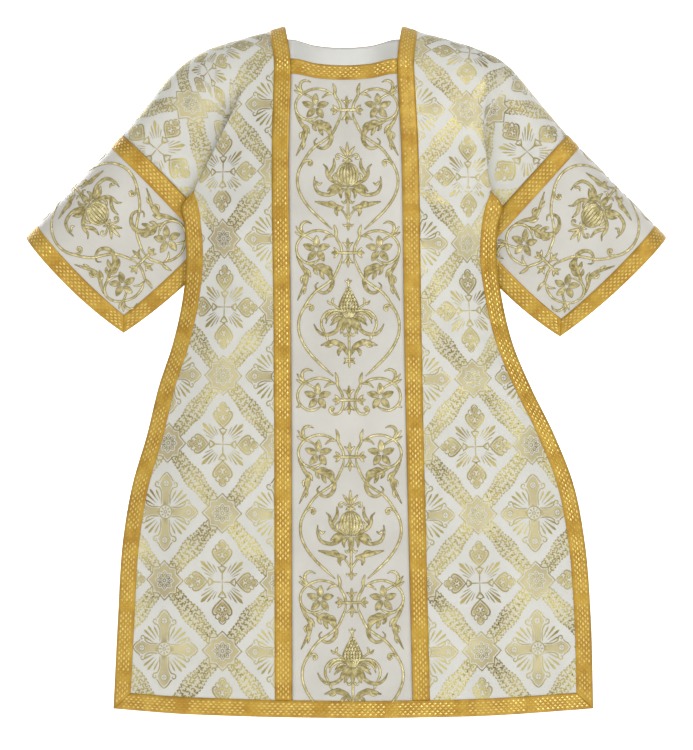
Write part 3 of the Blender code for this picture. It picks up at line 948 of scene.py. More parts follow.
# Galloons: two raised halves, with staggered columns of lozenges on them
BRAID_PROFILE = np.array((0.35, 0.80, 1.0, 0.92, 0.55, 0.92, 1.0, 0.80, 0.35))
NET_PERIOD = 0.107        # bright lozenges come in stretches, with matt ones between
NET_MATT = 0.17           # share of the period that is matt
LOZENGE_PITCH = 0.0082
LOZENGE_HALF = (0.0019, 0.0034)
LOZENGE_HEIGHT = 0.0006
LOZENGE_SINK = 0.0001     # the corners are this deep in the weave
NARROWEST = 0.55          # no lozenges where the strip is narrower than this part of its width
MITRE_GAP = 0.2           # steps between the lozenges and a mitred corner
NET_COLUMNS = ((0.21, 0.50, 0.79), (0.35, 0.65))    # places over the width, row by row in turn


def strip_sample(values, row, across):
    """Values of a strip's table at fractional places in it."""
    first = np.clip(np.floor(row).astype(int), 0, values.shape[0] - 2)
    left = np.clip(np.floor(across).astype(int), 0, values.shape[1] - 2)
    down = (row - first)[:, None]
    aside = (across - left)[:, None]
    top = values[first, left] * (1 - aside) + values[first, left + 1] * aside
    low = values[first + 1, left] * (1 - aside) + values[first + 1, left + 1] * aside
    return top * (1 - down) + low * down


def lozenges(strip, keep):
    """Raised lozenges in staggered columns along a strip of the net, and which of them are bright."""
    points, normals = NET.points[strip], NET.normals[strip]
    along = chords(points[:, STRIP_STEPS // 2])
    width = np.linalg.norm(points[:, -1] - points[:, 0], axis=1)
    centres = []
    for step in range(int(2 * along[-1] / LOZENGE_PITCH)):
        place = (step + 0.5) * LOZENGE_PITCH / 2
        centres += [(place, column * GALLOON) for column in NET_COLUMNS[step % 2]]
    centres = np.array(centres)
    half_wide, half_long = LOZENGE_HALF
    shape = np.array(((-half_long, 0), (0, half_wide), (half_long, 0), (0, -half_wide), (0, 0)))
    spots = centres[:, None, :] + shape[None]
    row = np.interp(spots[..., 0], along, np.arange(len(along)))
    across = spots[..., 1] / GALLOON * STRIP_STEPS
    wide = np.interp(centres[:, 0], along, width) > NARROWEST * GALLOON
    inside = wide & np.all(keep(row, across), axis=1)
    bright = (centres[inside, 0] / NET_PERIOD) % 1.0 > NET_MATT
    row, across = row[inside].ravel(), across[inside].ravel()
    base = np.interp(across, np.arange(STRIP_STEPS + 1), BRAID_PROFILE) * BRAID + LAY
    base += np.tile([-LOZENGE_SINK] * 4 + [LOZENGE_HEIGHT], len(row) // 5)
    normal = strip_sample(normals, row, across)
    places = strip_sample(points, row, across) + normal * base[:, None]
    start = np.arange(len(row) // 5) * 5
    corners = [(0, 1, 4), (1, 2, 4), (2, 3, 4), (3, 0, 4)]
    faces = [(s + a, s + b, s + c) for s in start.tolist() for a, b, c in corners]
    if len(places):
        first = np.cross(places[1] - places[0], places[4] - places[0])
        if first @ normal[0] < 0:
            faces = [tuple(reversed(face)) for face in faces]
    return places, faces, np.where(bright, 1, 2).repeat(len(corners)).tolist()


def galloon(name, cells, strip, keep):
    """A galloon: a strip with two raised halves, and its raised lozenges."""
    heights = np.full(len(NET.points), LAY + BRAID_PROFILE[0] * BRAID)
    heights[strip] = LAY + BRAID_PROFILE * BRAID
    flat = np.zeros((len(NET.points), 2))
    flat[strip, 0] = np.linspace(0.0, GALLOON, STRIP_STEPS + 1)
    flat[strip, 1] = chords(NET.points[strip[:, STRIP_STEPS // 2]])[:, None]
    points, faces, picks, used = wall(cells, LAY, heights)
    more, more_faces, tones = lozenges(strip, keep)
    count = len(points)
    picks = [0] * len(faces) + tones
    faces += [tuple(place + count for place in face) for face in more_faces]
    spread = np.vstack([flat[used], np.zeros((len(more), 2))])
    materials = [GALLOON_WEAVE, GALLOON_GLINT, GALLOON_NET]
    piece = add_piece(name + "_braid", np.vstack([points, more]), faces, materials, picks, spread)
    for polygon in piece.data.polygons:
        if polygon.material_index > 0:
            polygon.use_smooth = False
    return stands_for(piece, name)


def mitre(side, rows, columns, upper):
    """Half of a corner block, cut along its diagonal from the inner to the outer corner."""
    first, last = sorted((row_index(rows[0]), row_index(rows[1])))
    table = NET.table(side, columns)[first:last + 1]
    count = STRIP_STEPS
    cells = []
    for i in range(count):
        level = i if rows[0] > 0 else count - 1 - i
        for j in range(count):
            top_in, top_out = table[i, j], table[i, j + 1]
            low_out, low_in = table[i + 1, j + 1], table[i + 1, j]
            cell = [top_in, top_out, low_out, low_in]
            if j == level and rows[0] > 0:
                cell = [top_in, top_out, low_out, low_out] if upper else [top_in, low_out, low_in, low_in]
            elif j == level:
                cell = [top_out, low_out, low_in, low_in] if upper else [top_in, top_out, low_in, low_in]
            elif (j > level) != upper:
                continue
            cells.append(cell[::-1] if side > 0 else cell)
    return np.array(cells)


def rows_of(table, first, last):
    low, high = sorted((row_index(first), row_index(last)))
    picked = table[low:high + 1]
    return picked if first < last else picked[::-1]


def everywhere(row, across):
    """Lozenges on the whole strip."""
    return np.ones(row.shape, bool)


def clear_of_mitres(strip, both_ends=True):
    """Lozenges only outward of the corner cuts, at one end of a strip or at both."""
    last = len(strip) - 1

    def clear(row, across):
        left = np.minimum(row, last - row) if both_ends else last - row
        return across > STRIP_STEPS - left - MITRE_GAP

    return clear


def above_mitre(strip):
    """Lozenges only outward of the corner cut at the end of a side strip."""
    last = len(strip) - 1
    return lambda row, across: across > row - (last - STRIP_STEPS) + MITRE_GAP


def long_galloon(side):
    hem = HEM_ROW - 1
    columns = (SEAM, BRAID_EDGE)
    strip = rows_of(NET.table(side, columns), -hem, hem)
    return NET.block(side, (-hem, hem), columns), strip, everywhere


def arm_galloon(side):
    columns = (ARMHOLE, BAND_EDGE)
    strip = rows_of(NET.table(side, columns), -ARM_ROW, ARM_ROW)
    return NET.block(side, (-ARM_ROW, ARM_ROW), columns), strip, everywhere


def cuff_galloon(side):
    inner = ARM_ROW - 1
    columns = (CUFF_BRAID, CUFF)
    cells = [NET.block(side, (-inner, inner), columns)]
    cells += [mitre(side, (sign * inner, sign * ARM_ROW), columns, True) for sign in (1, -1)]
    strip = rows_of(NET.table(side, columns), -ARM_ROW, ARM_ROW)
    return np.vstack(cells), strip, clear_of_mitres(strip)


def neck_galloon(sign):
    rows = (sign * NECK_ROWS[sign], sign * (NECK_ROWS[sign] + 1))
    cells = np.vstack([NET.block(side, rows, (0, SEAM)) for side in (1, -1)])
    return cells, across_middle(rows, (0, SEAM)), everywhere


def hem_galloon(sign):
    rows = (sign * (HEM_ROW - 1), sign * HEM_ROW)
    cells = []
    for side in SIDES.values():
        cells.append(NET.block(side, rows, (0, FOLD)))
        cells.append(mitre(side, rows, (FOLD, SIDE_EDGE), False))
    strip = across_middle(rows, (0, SIDE_EDGE))
    return np.vstack(cells), strip, clear_of_mitres(strip)


def side_galloon(side, sign):
    hem = sign * (HEM_ROW - 1)
    columns = (FOLD, SIDE_EDGE)
    cells = [NET.block(side, (sign * ARM_ROW, hem), columns)]
    cells.append(mitre(side, (hem, sign * HEM_ROW), columns, True))
    strip = rows_of(NET.table(side, columns), sign * ARM_ROW, sign * HEM_ROW)
    return np.vstack(cells), strip, above_mitre(strip)


def underarm_galloon(side, sign):
    rows = (sign * (ARM_ROW - 1), sign * ARM_ROW)
    cells = [NET.block(side, rows, (BAND_EDGE, CUFF_BRAID))]
    cells.append(mitre(side, rows, (CUFF_BRAID, CUFF), False))
    strip = rows_of(NET.table(side, (BAND_EDGE, CUFF)), *rows).T
    return np.vstack(cells), strip, clear_of_mitres(strip, both_ends=False)


def all_galloons():
    shapes = {}
    for side_name, side in SIDES.items():
        shapes["long_galloon_" + side_name] = long_galloon(side)
        shapes["arm_galloon_" + side_name] = arm_galloon(side)
        shapes["cuff_galloon_" + side_name] = cuff_galloon(side)
    for face_name, sign in FACES.items():
        shapes[face_name + "_neck_galloon"] = neck_galloon(sign)
        shapes[face_name + "_hem_galloon"] = hem_galloon(sign)
        for side_name, side in SIDES.items():
            shapes[face_name + "_side_galloon_" + side_name] = side_galloon(side, sign)
            shapes[face_name + "_underarm_galloon_" + side_name] = underarm_galloon(side, sign)
    return {name: galloon(name, *shape) for name, shape in shapes.items()}


def across_middle(rows, columns):
    """A strip that runs from one side over the middle to the other."""
    halves = []
    for side in (-1, 1):
        table = NET.table(side, (0, FOLD)) if columns[1] == SIDE_EDGE else NET.table(side, columns)
        if columns[1] == SIDE_EDGE:
            table = np.hstack([table, NET.table(side, (FOLD, SIDE_EDGE))[:, 1:]])
        halves.append(rows_of(table, rows[0], rows[1]).T)
    return np.vstack([halves[0][:0:-1], halves[1]])


# Flat drawings, in millimetres, laid on the cloth
MM = 0.001
EDGE_SLACK = 0.0004       # a point this near the cloth's edge still lies on it


def curve(points, step):
    """A smooth line through given points, with a point about every step."""
    points = np.asarray(points, float)
    along = chords(points)
    count = max(2, math.ceil(along[-1] / step))
    at = np.linspace(0.0, along[-1], count + 1)
    if len(points) == 2:
        return np.column_stack([np.interp(at, along, points[:, axis]) for axis in (0, 1)])
    return smooth(along, points, at)


def leaf_shape(count, width, skew=0.85):
    part = np.linspace(0.0, 1.0, count)
    return width * np.maximum(np.sin(math.pi * part ** skew), 0.04) ** 0.8


def vine_shape(count, width, taper=0.12):
    part = np.linspace(0.0, 1.0, count)
    return width * np.clip(np.minimum(part, 1.0 - part) / taper + 0.25, 0.25, 1.0)


class Drawing:
    """Flat strokes with a height and a thread for each, kept as arrays."""

    def __init__(self):
        self.spots = np.zeros((0, 2))
        self.lifts = np.zeros(0)
        self.flat = np.zeros((0, 2))
        self.faces = np.zeros((0, 4), int)
        self.picks = np.zeros(0, int)

    def add(self, spots, lifts, flat, faces, picks):
        self.faces = np.vstack([self.faces, np.asarray(faces, int).reshape(-1, 4) + len(self.spots)])
        self.spots = np.vstack([self.spots, spots])
        self.lifts = np.concatenate([self.lifts, lifts])
        self.flat = np.vstack([self.flat, flat])
        self.picks = np.concatenate([self.picks, np.broadcast_to(picks, len(faces))])

    def ribbon(self, line, widths, lift, pick, crown=0.0, across=2):
        """A band along a line; its middle stands up by the crown."""
        run = np.gradient(line, axis=0)
        run /= np.maximum(np.linalg.norm(run, axis=1, keepdims=True), 1e-9)
        aside = np.column_stack([-run[:, 1], run[:, 0]])
        parts = np.linspace(-1.0, 1.0, across)
        spots = line[:, None] + aside[:, None] * (widths[:, None] * parts / 2)[..., None]
        swell = np.sqrt(np.maximum(1.0 - parts ** 2, 0.0))
        rise = crown * np.clip(widths / max(widths.max(), 1e-9), 0.3, 1.0)
        lifts = lift + rise[:, None] * swell
        along = chords(line)
        flat = np.stack(np.broadcast_arrays(along[:, None], parts * widths.max() / 2), axis=-1)
        places = np.arange(len(line) * across).reshape(len(line), across)
        faces = np.stack([corner.ravel() for corner in cell_corners(places)], axis=1)
        self.add(spots.reshape(-1, 2), lifts.ravel(), flat.reshape(-1, 2), faces, pick)

    def fill(self, outline, lift, pick):
        """A flat patch between an outline and its middle."""
        outline = np.asarray(outline, float)
        count = len(outline)
        spots = np.vstack([outline, outline.mean(axis=0)])
        faces = [(i, (i + 1) % count, count, count) for i in range(count)]
        self.add(spots, np.full(count + 1, lift), spots, faces, pick)

    def put(self, other, matrix=((1, 0), (0, 1)), offset=(0, 0)):
        """Adds a copy of another drawing, turned, mirrored or stretched, at a place."""
        spots = other.spots @ np.asarray(matrix, float).T + np.asarray(offset, float)
        self.add(spots, other.lifts, other.flat, other.faces, other.picks)
        return self


def turn(degrees):
    across, up = math.cos(math.radians(degrees)), math.sin(math.radians(degrees))
    return ((across, -up), (up, across))


MIRROR = ((-1, 0), (0, 1))
UPSIDE_DOWN = ((1, 0), (0, -1))


def both(half):
    """A drawing and its mirror image."""
    return Drawing().put(half).put(half, MIRROR)


class Lay:
    """Finds where the points of a flat drawing lie on the net."""

    def __init__(self, table, flat, limits=None):
        solid = ~np.isnan(NET.points[table]).any(axis=2)
        quad = np.stack(cell_corners(table), axis=-1)
        whole = np.stack(cell_corners(solid), axis=-1).all(axis=-1)
        places = np.arange(table.size).reshape(table.shape)
        spots = np.stack(cell_corners(places), axis=-1)
        quad, spots = quad[whole], spots[whole]
        self.corners = np.vstack([quad[:, (0, 1, 2)], quad[:, (0, 2, 3)]])
        spots = np.vstack([spots[:, (0, 1, 2)], spots[:, (0, 2, 3)]])
        places = flat.reshape(-1, 2)
        self.flat = places[spots]
        full = np.column_stack([np.nan_to_num(places), np.zeros(len(places))])
        self.tree = BVHTree.FromPolygons(full.tolist(), spots.tolist())
        self.limits = limits

    def place(self, spots, lifts):
        """Points on the cloth, and which of them lie inside its edges."""
        found = [self.tree.find_nearest((x, y, 0.0)) for x, y in spots.tolist()]
        index = np.array([hit[2] for hit in found])
        near = np.array([hit[0][:2] for hit in found])
        inside = np.array([hit[3] for hit in found]) < EDGE_SLACK
        if self.limits is not None:
            inside &= (spots[:, 0] > self.limits[0]) & (spots[:, 0] < self.limits[1])
        start, second, third = (self.flat[index, corner] for corner in range(3))
        whole = twice_area(second - start, third - start)
        whole = np.where(np.abs(whole) < 1e-14, 1e-14, whole)
        second_share = twice_area(near - start, third - start) / whole
        third_share = twice_area(second - start, near - start) / whole
        shares = np.column_stack([1.0 - second_share - third_share, second_share, third_share])
        corners = self.corners[index]
        points = (NET.points[corners] * shares[..., None]).sum(axis=1)
        normals = (NET.normals[corners] * shares[..., None]).sum(axis=1)
        return points + normals * lifts[:, None], normals, inside


def twice_area(one, other):
    return one[:, 0] * other[:, 1] - one[:, 1] * other[:, 0]


def laid(name, drawings, materials):
    """One piece from drawings that each lie on their own part of the cloth."""
    points, faces, picks, flat = [], [], [], []
    count = 0
    for drawing, lay in drawings:
        spots, normals, inside = lay.place(drawing.spots * MM, drawing.lifts * MM)
        kept = inside[drawing.faces].all(axis=1)
        quads, chosen = drawing.faces[kept], drawing.picks[kept]
        corner = spots[quads]
        facing = np.cross(corner[:, 2] - corner[:, 0], corner[:, 3] - corner[:, 1])
        away = (facing * normals[quads[:, 0]]).sum(axis=1) < 0
        quads[away] = quads[away][:, ::-1]
        used, renamed = np.unique(quads, return_inverse=True)
        quads = renamed.reshape(quads.shape) + count
        count += len(used)
        points.append(spots[used])
        flat.append(drawing.flat[used] * MM)
        faces += [tuple(dict.fromkeys(quad)) for quad in quads.tolist()]
        picks.append(chosen)
    return add_piece(name, np.vstack(points), faces, materials, np.concatenate(picks), np.vstack(flat))


# Embroidery: raised satin stitch on a darker edge, which is painted shade where the stitches turn down to
# the cloth and between them.  Strokes are (kind, width, points);
# a knot is at (0, 0), the panel's length runs along y, and x is out from its middle.
THREAD, EDGE_SHADE, MATT = 0, 1, 2
MATT_WIDTH = 4.4          # leaves from this width up are filled with matt thread
STITCH_STEP = 2.6

LOOPS = (
    ("leaf", 4.2, ((17.5, 23), (17.6, 32), (20.5, 42))),
    ("vine", 2.7, ((19.0, 28), (17.0, 22), (10.5, 9), (8.8, 0))),
    ("vine", 2.5, ((21, 25), (33, 31), (48, 33), (61, 29), (71, 22), (77, 12), (77.5, 1), (72, -9),
                   (61, -15.5), (50, -14), (42, -9))),
    ("leaf", 3.8, ((65, 27), (70.5, 35), (69, 43), (62, 46.5), (54, 43.5))),
    ("leaf", 3.4, ((64, 26), (71.5, 31), (78.5, 40))),
    ("leaf", 3.0, ((66, 24.5), (73, 27), (80, 31.5))),
    ("vine", 2.0, ((69, 27), (59, 22.5), (50.5, 17))),
    ("leaf", 3.0, ((20, 24.5), (29, 25), (37.5, 18.5))),
)
STRANDS = (
    ("vine", 2.7, ((8.8, 0), (9.5, -8), (15, -23), (25, -40), (36, -48.5), (50, -58), (66, -79), (75, -98),
                   (76, -116), (70.5, -133), (57, -153), (41, -169), (24.5, -184))),
    ("leaf", 5.2, ((78, -4), (71, -18), (63, -32), (65, -46), (71, -58), (77.5, -71))),
    ("leaf", 4.0, ((67, -22), (60, -28), (57, -37))),
    ("leaf", 4.4, ((64, -30), (67, -39), (64, -50))),
    ("leaf", 3.0, ((67, -47), (65.5, -55), (68, -62))),
    ("leaf", 3.0, ((67, -34), (71, -38), (70, -46))),
    ("leaf", 5.6, ((68, -11), (58, -17), (49, -22), (39, -26), (30, -31), (24, -42), (27.5, -54), (37, -60),
                   (46, -56.5), (50, -49), (45.5, -44))),
    ("leaf", 5.4, ((50, -21), (42, -18.5), (33, -19.5))),
    ("leaf", 6.0, ((40, -25), (31, -22.5), (23.5, -28))),
    ("leaf", 5.4, ((42, -25), (40, -33), (36.5, -40))),
    ("leaf", 4.4, ((51, -21), (50, -28), (46, -33))),
    ("leaf", 6.0, ((36, -27), (28, -29), (25, -38))),
    ("vine", 2.2, ((71, -87), (64, -80), (57.5, -78), (53.5, -81.5), (56.5, -86), (60, -83))),
    ("leaf", 5.0, ((54.5, -80.5), (57, -82.5), (60, -84.5))),
)
POMEGRANATE = (
    ("leaf", 3.8, ((1.5, -72), (6, -64), (11.5, -57))),
    ("vine", 1.9, ((1, -75), (8, -71.5), (14, -69), (17.5, -73), (14, -76.5), (12, -73.5))),
    ("leaf", 3.2, ((1, -82), (3.5, -77.5), (7.5, -80.5))),
    ("leaf", 5.0, ((6, -119), (16, -113), (26, -107), (31, -98), (31.5, -90), (37, -84))),
    ("leaf", 4.6, ((30, -103), (25, -96), (20.5, -88), (20.5, -75))),
    ("leaf", 3.6, ((20, -110), (21, -103), (17.5, -97))),
    ("leaf", 4.6, ((10, -122), (22, -130), (35, -131), (45, -127), (50, -117), (50, -103))),
    ("leaf", 3.2, ((48, -110), (43.5, -115.5), (38.5, -112.5))),
    ("leaf", 6.4, ((8, -121), (20, -124), (30, -134))),
    ("leaf", 5.6, ((10, -120), (21, -118.5), (31, -126))),
    ("leaf", 5.0, ((4, -121), (11, -128), (10, -137))),
    ("leaf", 3.0, ((2, -138), (6, -144), (10, -141))),
    ("vine", 1.8, ((1, -168), (6, -159), (11, -153))),
    ("leaf", 6.6, ((6, -151), (20, -148.5), (35, -145), (50, -141.5))),
    ("leaf", 5.6, ((8, -152), (18, -155), (16, -164))),
    ("leaf", 4.6, ((18, -147), (24, -143.5), (31, -142.5))),
    ("leaf", 2.8, ((0, -175), (4.5, -178.5), (8.5, -176))),
)
POMEGRANATE_MIDDLE = (
    ("leaf", 4.2, ((0, -73), (0, -62), (0, -50))),
    ("leaf", 3.2, ((0, -83), (0, -77.5), (0, -73))),
    ("leaf", 8.4, ((0, -119), (0, -130), (0, -142))),
    ("vine", 2.4, ((0, -138), (0, -176))),
    ("leaf", 4.4, ((0, -173), (0, -186))),
)
CONE = (
    ("leaf", 2.4, ((0, -46), (3, -42.5), (5.5, -41))),
    ("vine", 1.7, ((13, -84), (20, -79.5), (26, -75.5))),
    ("leaf", 2.8, ((23.5, -77), (29, -75.5), (32.5, -71))),
    ("leaf", 2.8, ((23, -77), (24.5, -71.5), (22, -67))),
    ("vine", 2.5, ((7, -88), (20, -85.5), (32, -88), (40, -97), (41.5, -108), (36, -121))),
    ("leaf", 2.8, ((12, -90), (22, -90), (31, -96), (35, -106))),
    ("leaf", 2.6, ((12, -92.5), (20, -94.5), (26.5, -101.5))),
    ("leaf", 2.6, ((24, -87), (31, -91), (36, -99))),
    ("leaf", 4.8, ((7, -96), (14, -111), (26, -120.5), (40, -121.5), (49, -114), (53, -106))),
    ("leaf", 3.2, ((31, -121), (33.5, -126), (31.5, -131))),
    ("leaf", 6.2, ((4, -97), (13, -105), (19, -113))),
    ("leaf", 6.0, ((2, -98), (8, -110), (13, -121))),
    ("leaf", 5.2, ((6, -95), (17, -99), (28, -108.5))),
    ("leaf", 3.2, ((1, -119), (6, -123.5), (9.5, -119))),
    ("leaf", 7.6, ((2, -153), (10, -139), (24, -133.5), (43, -138))),
    ("leaf", 4.8, ((10, -142), (16, -147), (16, -154))),
    ("leaf", 4.4, ((16, -136), (21, -131.5), (28, -131))),
    ("leaf", 4.2, ((24, -134), (30, -139), (36, -139))),
    ("leaf", 2.8, ((0, -163), (5, -162), (8.5, -166))),
    ("leaf", 2.8, ((0, -158), (4.5, -159), (8, -157))),
)
CONE_MIDDLE = (
    ("leaf", 3.0, ((0, -52), (0, -45), (0, -38))),
    ("leaf", 8.0, ((0, -97), (0, -108), (0, -121))),
    ("vine", 2.4, ((0, -119), (0, -172))),
)
CURLS = (
    ("vine", 2.6, ((8.8, 0), (10, -12), (17, -20.5), (25.5, -20.5), (29.5, -14.5), (25.5, -10.5),
                   (22, -14))),
    ("leaf", 4.6, ((23.5, -16.5), (26, -14.5), (28.5, -12.5))),
    ("leaf", 3.2, ((76.5, -3), (75, -9), (80.5, -11))),
)
VINE_WIDENED = 1.15       # the vines are bolder than their drawn widths
PETALS = 5
PETAL_TURN = 3.0
BLOSSOM_PLACE = (47.7, 5.0)


# How far a stroke's dark edge of painted shade shows, how high that edge and the stroke lie, and the
# stroke's padding:
# its least height in the middle, and how much more for each millimetre of width
EDGE_SHADE_SHOWS = 1.3
EDGE_SHADE_LIFT = 0.12
STITCH_LIFT = 0.18
PADDING = (0.45, 0.15)


def stitched(strokes, matt=True):
    """Raised strokes on dark edges of painted shade.  Broad leaves are matt unless told otherwise."""
    drawing = Drawing()
    for kind, width, points in strokes:
        line = curve(points, STITCH_STEP)
        shape = leaf_shape if kind == "leaf" else vine_shape
        if kind != "leaf":
            width = width * VINE_WIDENED
        widths = shape(len(line), width)
        drawing.ribbon(line, widths + EDGE_SHADE_SHOWS, EDGE_SHADE_LIFT, EDGE_SHADE)
        pick = MATT if matt and kind == "leaf" and width >= MATT_WIDTH else THREAD
        drawing.ribbon(line, widths, STITCH_LIFT, pick, PADDING[0] + PADDING[1] * width, 4)
    return drawing


def blossom():
    flower = Drawing()
    for petal in range(PETALS):
        one = stitched([("leaf", 9.4, ((0, 2.8), (0.6, 10), (0, 21)))], matt=petal > 0)
        # A dark vein of painted shade down the petal's middle.
        vein = curve(((0, 5), (0.4, 14)), 4.0)
        one.ribbon(vein, vine_shape(len(vein), 0.9), 1.62, EDGE_SHADE)
        flower.put(one, turn(PETAL_TURN + petal * 360.0 / PETALS))
    for bead in range(PETALS):
        angle = 2 * math.pi * (bead + 0.5) / PETALS
        spot = (2.6 * math.cos(angle), 2.6 * math.sin(angle))
        dot = curve((spot, (spot[0] * 1.7, spot[1] * 1.7)), 1.0)
        flower.ribbon(dot, leaf_shape(len(dot), 2.2), 0.3, THREAD, 0.8, 4)
    return flower


def knot():
    """A small cross of leaves, tied by a bar."""
    arm = stitched([("leaf", 4.8, ((0, 2), (0, 12), (0, 22)))])
    arm.put(both(stitched([("leaf", 2.8, ((1, 7), (4, 13), (8.5, 15.5)))])))
    tip = stitched([("leaf", 5.0, ((14, 0), (19, 0), (25, 0)))])
    lobe = stitched([("leaf", 3.6, ((14, 0), (18, 4), (21.5, 8)))])
    tip.put(lobe).put(lobe, UPSIDE_DOWN)
    bar = stitched([("vine", 3.0, ((-16, 0), (16, 0)))])
    return both(tip).put(arm).put(arm, UPSIDE_DOWN).put(bar)


def fruit():
    """The ribbed middle of the pomegranate."""
    drawing = Drawing()
    for rib in (-3, 3, -2, 2, -1, 1, 0):
        path = ((rib * 1.3, -119), (rib * 4.2, -109), (rib * 4.9, -98), (rib * 3.6, -88), (rib * 1.2, -82))
        drawing.put(stitched([("leaf", 4.0, path)]))
    return drawing


def cone():
    """The scaled middle of the cone, with a ruff below it."""
    outline = curve(((0, -50), (5, -57), (11, -68), (15.5, -80), (14, -90), (6, -95), (0, -96)), 4.0)
    whole = np.vstack([outline, outline[-2:0:-1] * (-1, 1)])
    drawing = Drawing()
    # The dark ground between the scales is painted shade.
    drawing.fill(whole, 0.3, EDGE_SHADE)
    for row in range(7):
        low = -88.0 + 5.2 * row
        half_wide = np.interp(-low, (50, 68, 80, 90), (2.0, 9.5, 14.0, 12.5))
        count = max(1, round(half_wide / 2.3))
        for step in range(count):
            x = half_wide * ((step + 0.5) * 2.0 / count - 1.0)
            scale = curve(((x, low - 1), (x * 0.97, low + 5.4)), 2.4)
            drawing.ribbon(scale, leaf_shape(len(scale), 3.8), 0.5, THREAD, 0.9, 4)
    for petal in (-2, 2, -1, 1, 0):
        path = ((petal * 1.2, -98), (petal * 3.6, -91), (petal * 5.4, -84 - abs(petal)))
        drawing.put(stitched([("leaf", 4.2, path)]))
    return drawing


BLOSSOM = blossom()
KNOT = knot()


def crown():
    half = stitched(LOOPS).put(BLOSSOM, turn(0), BLOSSOM_PLACE)
    return both(half).put(KNOT)


PARTS = {
    "crown": crown(),
    "strands": both(stitched(STRANDS)),
    "pomegranate": both(stitched(POMEGRANATE)).put(stitched(POMEGRANATE_MIDDLE)).put(fruit()),
    "cone": both(stitched(CONE)).put(stitched(CONE_MIDDLE)).put(cone()),
    "curls": both(stitched(CURLS)),
}
UNIT = 219.7              # from one knot to the next, as drawn


def embroidered(knots, wide=1.0, shift=0.0):
    """Knots down a panel; each has its place aside and down, the gap to the next, and what hangs below."""
    drawing = Drawing()
    for aside, place, gap, below in knots:
        stretch = ((wide, 0.0), (0.0, -gap / UNIT))
        for part in ("crown",) + below:
            drawing.put(PARTS[part], stretch, (aside, place + shift))
    return drawing


BODY_KNOTS = (
    (3.2, 137.0, 218.3, ("strands", "pomegranate")),
    (2.2, 355.3, 222.8, ("strands", "cone")),
    (1.0, 578.1, 219.7, ("curls",)),
    (1.0, 664.0, 219.8, ("strands", "pomegranate")),
    (1.0, 883.8, 219.8, ("strands", "cone")),
)
SLEEVE_KNOTS = (
    (0.0, -178.0, 219.7, ("strands", "pomegranate")),
    (0.0, 42.0, 219.7, ("strands", "cone")),
)
SLEEVE_SHIFTS = {"left": -17.0, "right": -11.0}
SLEEVE_SQUEEZE = 0.97     # the knots' places across a sleeve, against those on the body


# Brocade: figures woven flat in gold, drawn in millimetres round their own middle
WOVEN, GROUND_GOLD, THIN = 0, 1, 2
HALF_WIDE, HALF_HIGH = 87.0, 104.3        # from one figure to the next across and down
WEAVE_LIFT, FILL_LIFT = 0.30, 0.22
FINE, MEDIUM = 1.6, 2.4
STAR_CORNERS = ((0, 30), (10, 20), (19, 19.5), (19.5, 10.5), (29.5, 0))
PETAL_COUNT = 8
BAND_START, BAND_HALF = 26.0, 10.0
BAND_CURLS = 10           # along each of the five rows
BAND_LOBES = 15           # along each edge
SIDE_REACH = 0.86         # the level arms of a figure against its upright ones


def woven(drawing, points, width, step=3.0, shape=vine_shape):
    line = curve(points, step)
    drawing.ribbon(line, shape(len(line), width), WEAVE_LIFT, WOVEN)


def closed(drawing, corners, width, scale=1.0):
    """A thin line round a straight-sided figure."""
    ring = np.array(list(corners) + [corners[0]], float) * scale
    for start, end in zip(ring[:-1], ring[1:]):
        reach = (end - start) / np.linalg.norm(end - start) * width * 0.4
        line = np.array((start - reach, (start + end) / 2, end + reach))
        drawing.ribbon(line, np.full(3, width), WEAVE_LIFT, WOVEN)


def ring(drawing, middle, radius, width, count=12):
    angles = np.linspace(0, 2 * math.pi, count + 1)
    line = np.column_stack([np.cos(angles), np.sin(angles)]) * radius + middle
    drawing.ribbon(line, np.full(count + 1, width), WEAVE_LIFT, WOVEN)


def dot(drawing, x, y, size):
    corners = ((x - size, y), (x, y + size), (x + size, y), (x, y - size))
    drawing.fill(corners, WEAVE_LIFT, WOVEN)


def scroll(drawing, x, y, radius, start, hand, width):
    """A little spiral."""
    angles = np.linspace(0.0, 1.5 * math.pi, 7)
    reach = radius * np.linspace(1.0, 0.3, 7)
    turned_angles = math.radians(start) + hand * angles
    line = np.column_stack([np.cos(turned_angles), np.sin(turned_angles)]) * reach[:, None] + (x, y)
    drawing.ribbon(line, vine_shape(7, width), WEAVE_LIFT, WOVEN)


def finer(outline, count):
    """A closed outline with more points on every side."""
    outline = np.asarray(outline, float)
    ends = np.roll(outline, -1, axis=0)
    parts = np.arange(count)[:, None] / count
    return np.vstack([start + (end - start) * parts for start, end in zip(outline, ends)])


def frame(drawing, outer, inner):
    """A flat patch between two closed outlines that have as many points."""
    count, levels = len(outer), 3
    parts = np.linspace(0.0, 1.0, levels)[:, None, None]
    spots = outer + (inner - outer) * parts
    places = np.arange(levels * count).reshape(levels, count)
    after = np.roll(places, -1, axis=1)
    faces = np.stack([places[:-1], after[:-1], after[1:], places[1:]], axis=-1)
    flat = spots.reshape(-1, 2)
    drawing.add(flat, np.full(len(flat), FILL_LIFT), flat, faces.reshape(-1, 4), GROUND_GOLD)


def petalled(drawing, petal):
    """Puts a petal round a drawing's middle."""
    for place in range(PETAL_COUNT):
        drawing.put(petal, turn(place * 360.0 / PETAL_COUNT))


